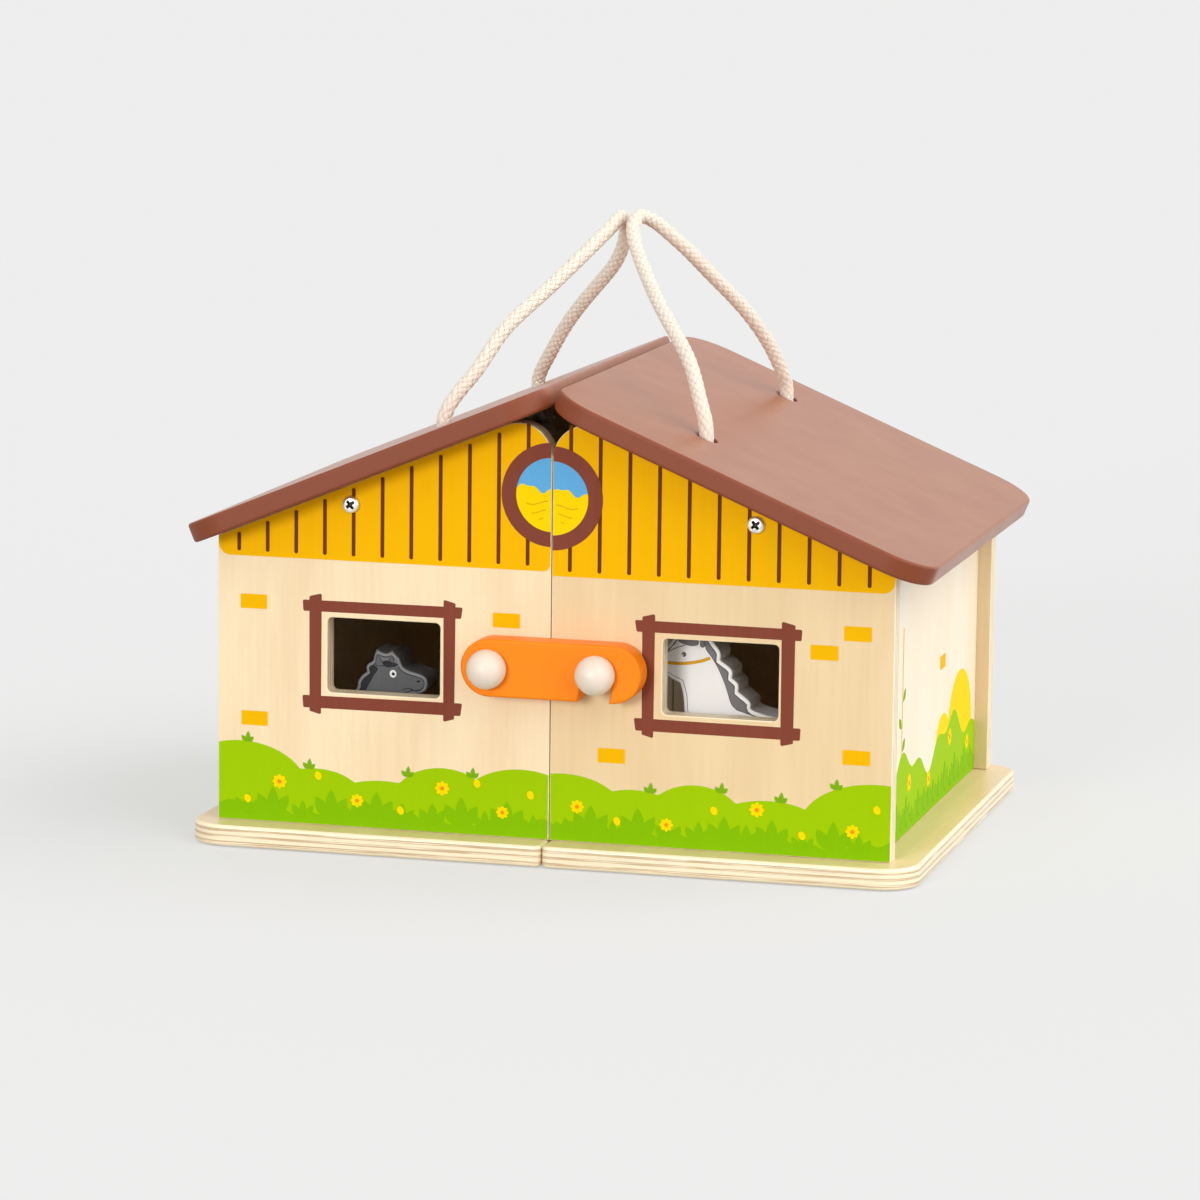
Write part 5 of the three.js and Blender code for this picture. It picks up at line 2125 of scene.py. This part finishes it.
def print_grey(sheet: PrintSheet, outline: Outline) -> None:
    """The grey horse: a dark line in a lighter border, a fill, ears, mane, forelock and eye."""
    line, fill = "grey_line", "grey_fill"
    crest = smooth_patch([
        (-81.9, 66.3), (-82.0, 68.3), (-81.1, 70.8), (-78.7, 69.6), (-77.1, 69.2), (-75.8, 69.5),
        (-74.4, 70.8), (-73.4, 69.5), (-71.9, 68.0), (-71.5, 67.0), (-70.9, 65.7), (-71.9, 64.8),
        (-74.1, 65.4), (-77.8, 65.4),
    ], [0])
    ears = [
        smooth_patch([
            (-81.3, 65.3), (-81.3, 67.9), (-81.0, 69.4), (-80.6, 69.9), (-79.6, 68.8),
            (-78.5, 67.2), (-77.7, 65.4),
        ], [0, 6]),
        smooth_patch([
            (-75.8, 66.4), (-75.7, 67.6), (-75.1, 68.8), (-74.2, 69.7), (-73.6, 68.6),
            (-73.3, 66.6),
        ], [0, 5]),
    ]
    mane = edge_patch(outline, 1.7, slice(75, 115), [14], [
        (-101.5, 43.4), (-97, 43.6), (-91.6, 46.0), (-87.6, 50.6), (-85.0, 56.0), (-83.6, 58.5),
        (-82.2, 61.1), (-80.5, 63.6), (-80.7, 64.6),
    ])
    forelock = smooth_patch([
        (-78.1, 67.0), (-77.2, 67.6), (-75.5, 67.6), (-73.8, 67.0), (-71.6, 66.5), (-72.3, 65.7),
        (-73.6, 65.3), (-75.3, 65.0), (-77.0, 65.2),
    ], [4])
    sheet.print(line, 1, [outline.inset(1.35)])
    sheet.print(fill, 2, [outline.inset(1.7)])
    sheet.print("grey_edge", 3, [crest.grown(-0.45)])
    sheet.print(line, 4, [ear.grown(0.15) for ear in ears])
    sheet.print(fill, 5, [ear.grown(-0.15) for ear in ears])
    sheet.print("grey_mane", 4, [mane, forelock.grown(0.1)])
    sheet.print("grey_mane", 6, [forelock])
    sheet.print("eye_white", 3, [Outline.ellipse(-73.8, 62.3, 1.5, 1.65)])
    sheet.print("eye_black", 4, [
        Outline.ellipse(-73.6, 62.3, 0.72, 0.72), Outline.ellipse(-62.7, 59.7, 0.8, 0.36, 0.3),
    ])
    sheet.print("eye_white", 5, [Outline.ellipse(-73.3, 62.7, 0.26, 0.2)])
    sheet.print(line, 3, [
        ribbon([(-69.5, 55.6), (-68.4, 56.3), (-66.9, 56.4), (-65.9, 56.0), (-64.9, 55.5)], 0.3),
        ribbon([(-66.0, 56.6), (-64.9, 55.7), (-63.6, 55.4), (-62.2, 55.7), (-61.2, 56.6)], 0.3),
    ])


def print_white(sheet: PrintSheet, outline: Outline) -> None:
    """The white horse: a thin grey line, a mane, an inner ear and a forelock, a halter, an eye."""
    line = "white_line"
    shades = [
        edge_patch(outline, 1.85, slice(169, 215), [11, 21, 31], [
            (60.0, 84.6), (60.4, 82.0), (61.0, 79.9), (62.8, 77.6), (64.6, 75.0), (66.4, 71.9),
            (67.9, 68.7), (69.4, 65.1), (70.6, 61.4), (71.9, 57.8), (74.2, 55.6),
        ]),
        smooth_patch([
            (58.7, 87.4), (59.7, 87.0), (60.1, 84.4), (60.2, 81.5), (59.3, 80.9), (58.3, 81.5),
            (58.4, 84.4),
        ], [0, 3, 5]),
        smooth_patch([
            (49.1, 83.5), (50.2, 82.4), (52.5, 81.7), (54.9, 81.4), (57.1, 81.9), (57.5, 83.5),
            (56.4, 86.0), (52.8, 86.2), (50.2, 85.4),
        ]),
    ]
    sheet.print(line, 1, [outline.inset(1.6)])
    sheet.print("white_fill", 2, [outline.inset(1.85)])
    sheet.print(line, 3, [shade.grown(0.12) for shade in shades])
    sheet.print("white_mane", 4, [shade.grown(-0.12) for shade in shades])
    sheet.print("halter", 3, [
        ribbon([
            (37.4, 74.0), (42.8, 73.8), (47.3, 73.7), (51.6, 73.8), (55.8, 74.5), (59.4, 75.4),
            (62.6, 76.7),
        ], 1.35),
        ribbon([(43.0, 73.3), (43.0, 70.4)], 1.0),
    ])
    sheet.print("white_eye", 3, [Outline.ellipse(51.4, 77.6, 1.0, 1.0)])
    sheet.print("white_fill", 4, [Outline.ellipse(50.9, 77.3, 0.34, 0.28)])
    sheet.print(line, 3, [
        ribbon([(42.8, 77.4), (46.4, 79.3), (49.3, 80.6), (51.9, 81.4)], 0.3),
        ribbon([(44.0, 78.8), (46.0, 80.4), (47.6, 82.2), (48.4, 83.8)], 0.3),
        ribbon([(34.0, 71.4), (33.0, 72.6), (32.6, 73.8)], 0.5),
    ])


GREY_SHARES = (
    (1, 0.82), (0.994, 0.784), (0.965, 0.757), (0.89, 0.742), (0.82, 0.705), (0.775, 0.64),
    (0.77, 0.53), (0.75, 0.42), (0.715, 0.34), (0.7, 0.2), (0.705, 0.06), (0.725, 0), (0.59, 0),
    (0.6, 0.08), (0.585, 0.29), (0.48, 0.27), (0.35, 0.29), (0.27, 0.24), (0.25, 0.13),
    (0.265, 0), (0.12, 0), (0.14, 0.12), (0.11, 0.28), (0.055, 0.36), (0.03, 0.22), (0, 0.24),
    (0.005, 0.42), (0.025, 0.57), (0.09, 0.65), (0.22, 0.675), (0.38, 0.65), (0.48, 0.69),
    (0.543, 0.765), (0.551, 0.803), (0.575, 0.839), (0.607, 0.864), (0.603, 0.891),
    (0.616, 0.912), (0.644, 0.929), (0.651, 0.949), (0.668, 1), (0.703, 0.984), (0.729, 0.979),
    (0.75, 0.984), (0.771, 1), (0.791, 0.974), (0.815, 0.954), (0.826, 0.93), (0.842, 0.902),
    (0.877, 0.885), (0.918, 0.875), (0.959, 0.865), (0.99, 0.846),
)
GREY_SHARP = (11, 12, 19, 20, 25, 35, 40, 44)
WHITE_SHARES = (
    (1, 0.745), (0.985, 0.705), (0.93, 0.69), (0.856, 0.717), (0.82, 0.704), (0.784, 0.688),
    (0.769, 0.634), (0.764, 0.57), (0.755, 0.53), (0.77, 0.44), (0.745, 0.36), (0.72, 0.3),
    (0.71, 0.16), (0.715, 0.05), (0.735, 0), (0.62, 0), (0.63, 0.07), (0.61, 0.27), (0.5, 0.245),
    (0.34, 0.26), (0.27, 0.23), (0.235, 0.13), (0.245, 0), (0.125, 0), (0.145, 0.11),
    (0.11, 0.26), (0.06, 0.35), (0.035, 0.2), (0, 0.22), (0.005, 0.4), (0.03, 0.52),
    (0.09, 0.575), (0.22, 0.582), (0.345, 0.561), (0.46, 0.586), (0.471, 0.62), (0.524, 0.663),
    (0.526, 0.697), (0.553, 0.722), (0.556, 0.76), (0.606, 0.798), (0.608, 0.836),
    (0.645, 0.886), (0.657, 0.93), (0.69, 1), (0.72, 0.945), (0.748, 0.99), (0.774, 0.92),
    (0.818, 0.882), (0.852, 0.838), (0.91, 0.806), (0.975, 0.792),
)
WHITE_SHARP = (5, 14, 15, 22, 23, 28, 36, 38, 40, 44, 46)


LEFT_HALF = Half(Side.LEFT)
RIGHT_HALF = Half(Side.RIGHT)
LEFT_PRINT = FrontPrint(
    LEFT_HALF, seam_corner=3.0,
    bricks=((128.4, 93.2), (128.0, 43.8), (19.0, 91.0)),
    hills=(
        (134.0, 30.0, 34.0), (101.0, 20.0, 24.0), (72.0, 20.0, 20.5), (46.0, 21.0, 27.5),
        (12.0, 26.0, 29.0),
    ),
    tuft_shift=3.0,
    flowers=((117.0, 17.5, 3.1), (83.0, 11.5, 2.8), (46.0, 19.0, 3.1), (20.0, 10.5, 2.7)),
    buds=((131.0, 9.5), (100.0, 21.0), (64.0, 8.5), (31.0, 22.0), (8.0, 18.5)),
    sprouts=(131.0, 104.0, 61.0, 33.0),
)
RIGHT_PRINT = FrontPrint(
    RIGHT_HALF, band_bottom=110.6, stripe_first=7.8, stripe_pitch=12.53, ring_lift=142.7,
    frame_outer=(38.9, 48.2, 102.5, 94.3), frame_inner=(44.0, 53.6, 97.3, 89.3),
    bricks=((128.7, 93.5), (115.0, 85.1), (129.0, 42.6), (26.3, 37.2)),
    hills=(
        (6.0, 26.0, 28.5), (36.0, 20.0, 23.5), (62.0, 20.0, 27.0), (93.0, 22.0, 22.5),
        (138.0, 32.0, 32.0),
    ),
    tuft_shift=9.0,
    flowers=((12.0, 15.0, 2.9), (50.0, 9.8, 2.8), (88.0, 18.5, 3.1), (128.0, 12.0, 2.9)),
    buds=((29.0, 10.0), (70.0, 17.0), (107.0, 9.0), (138.0, 21.5)),
    sprouts=(43.0, 73.0, 98.0, 121.0),
)
GREY_HORSE = Horse(
    "grey_horse", Side.LEFT, GREY_BOARD, length=68.0, height=72.2, rump_gap=2.3,
    shares=GREY_SHARES, sharp=GREY_SHARP,
)
WHITE_HORSE = Horse(
    "white_horse", Side.RIGHT, WHITE_BOARD, length=96.0, height=95.0, rump_gap=4.0,
    shares=WHITE_SHARES, sharp=WHITE_SHARP,
)


def main() -> None:
    """Builds the studio and every sub-assembly, in order."""
    logging.basicConfig(level=logging.INFO, format="%(message)s")
    Studio().build()
    for side, route in ((Side.LEFT, LEFT_ROUTE), (Side.RIGHT, RIGHT_ROUTE)):
        RopeHandle(side, route).build()
    for half in (LEFT_HALF, RIGHT_HALF):
        half.build()
        SidePrint(half).build()
        Fastening(half).build()
    LEFT_PRINT.build()
    RIGHT_PRINT.build()
    Latch().build()
    Hinges().build()
    GREY_HORSE.build(print_grey)
    WHITE_HORSE.build(print_white)
    bpy.context.view_layer.update()


if __name__ == "__main__":
    main()
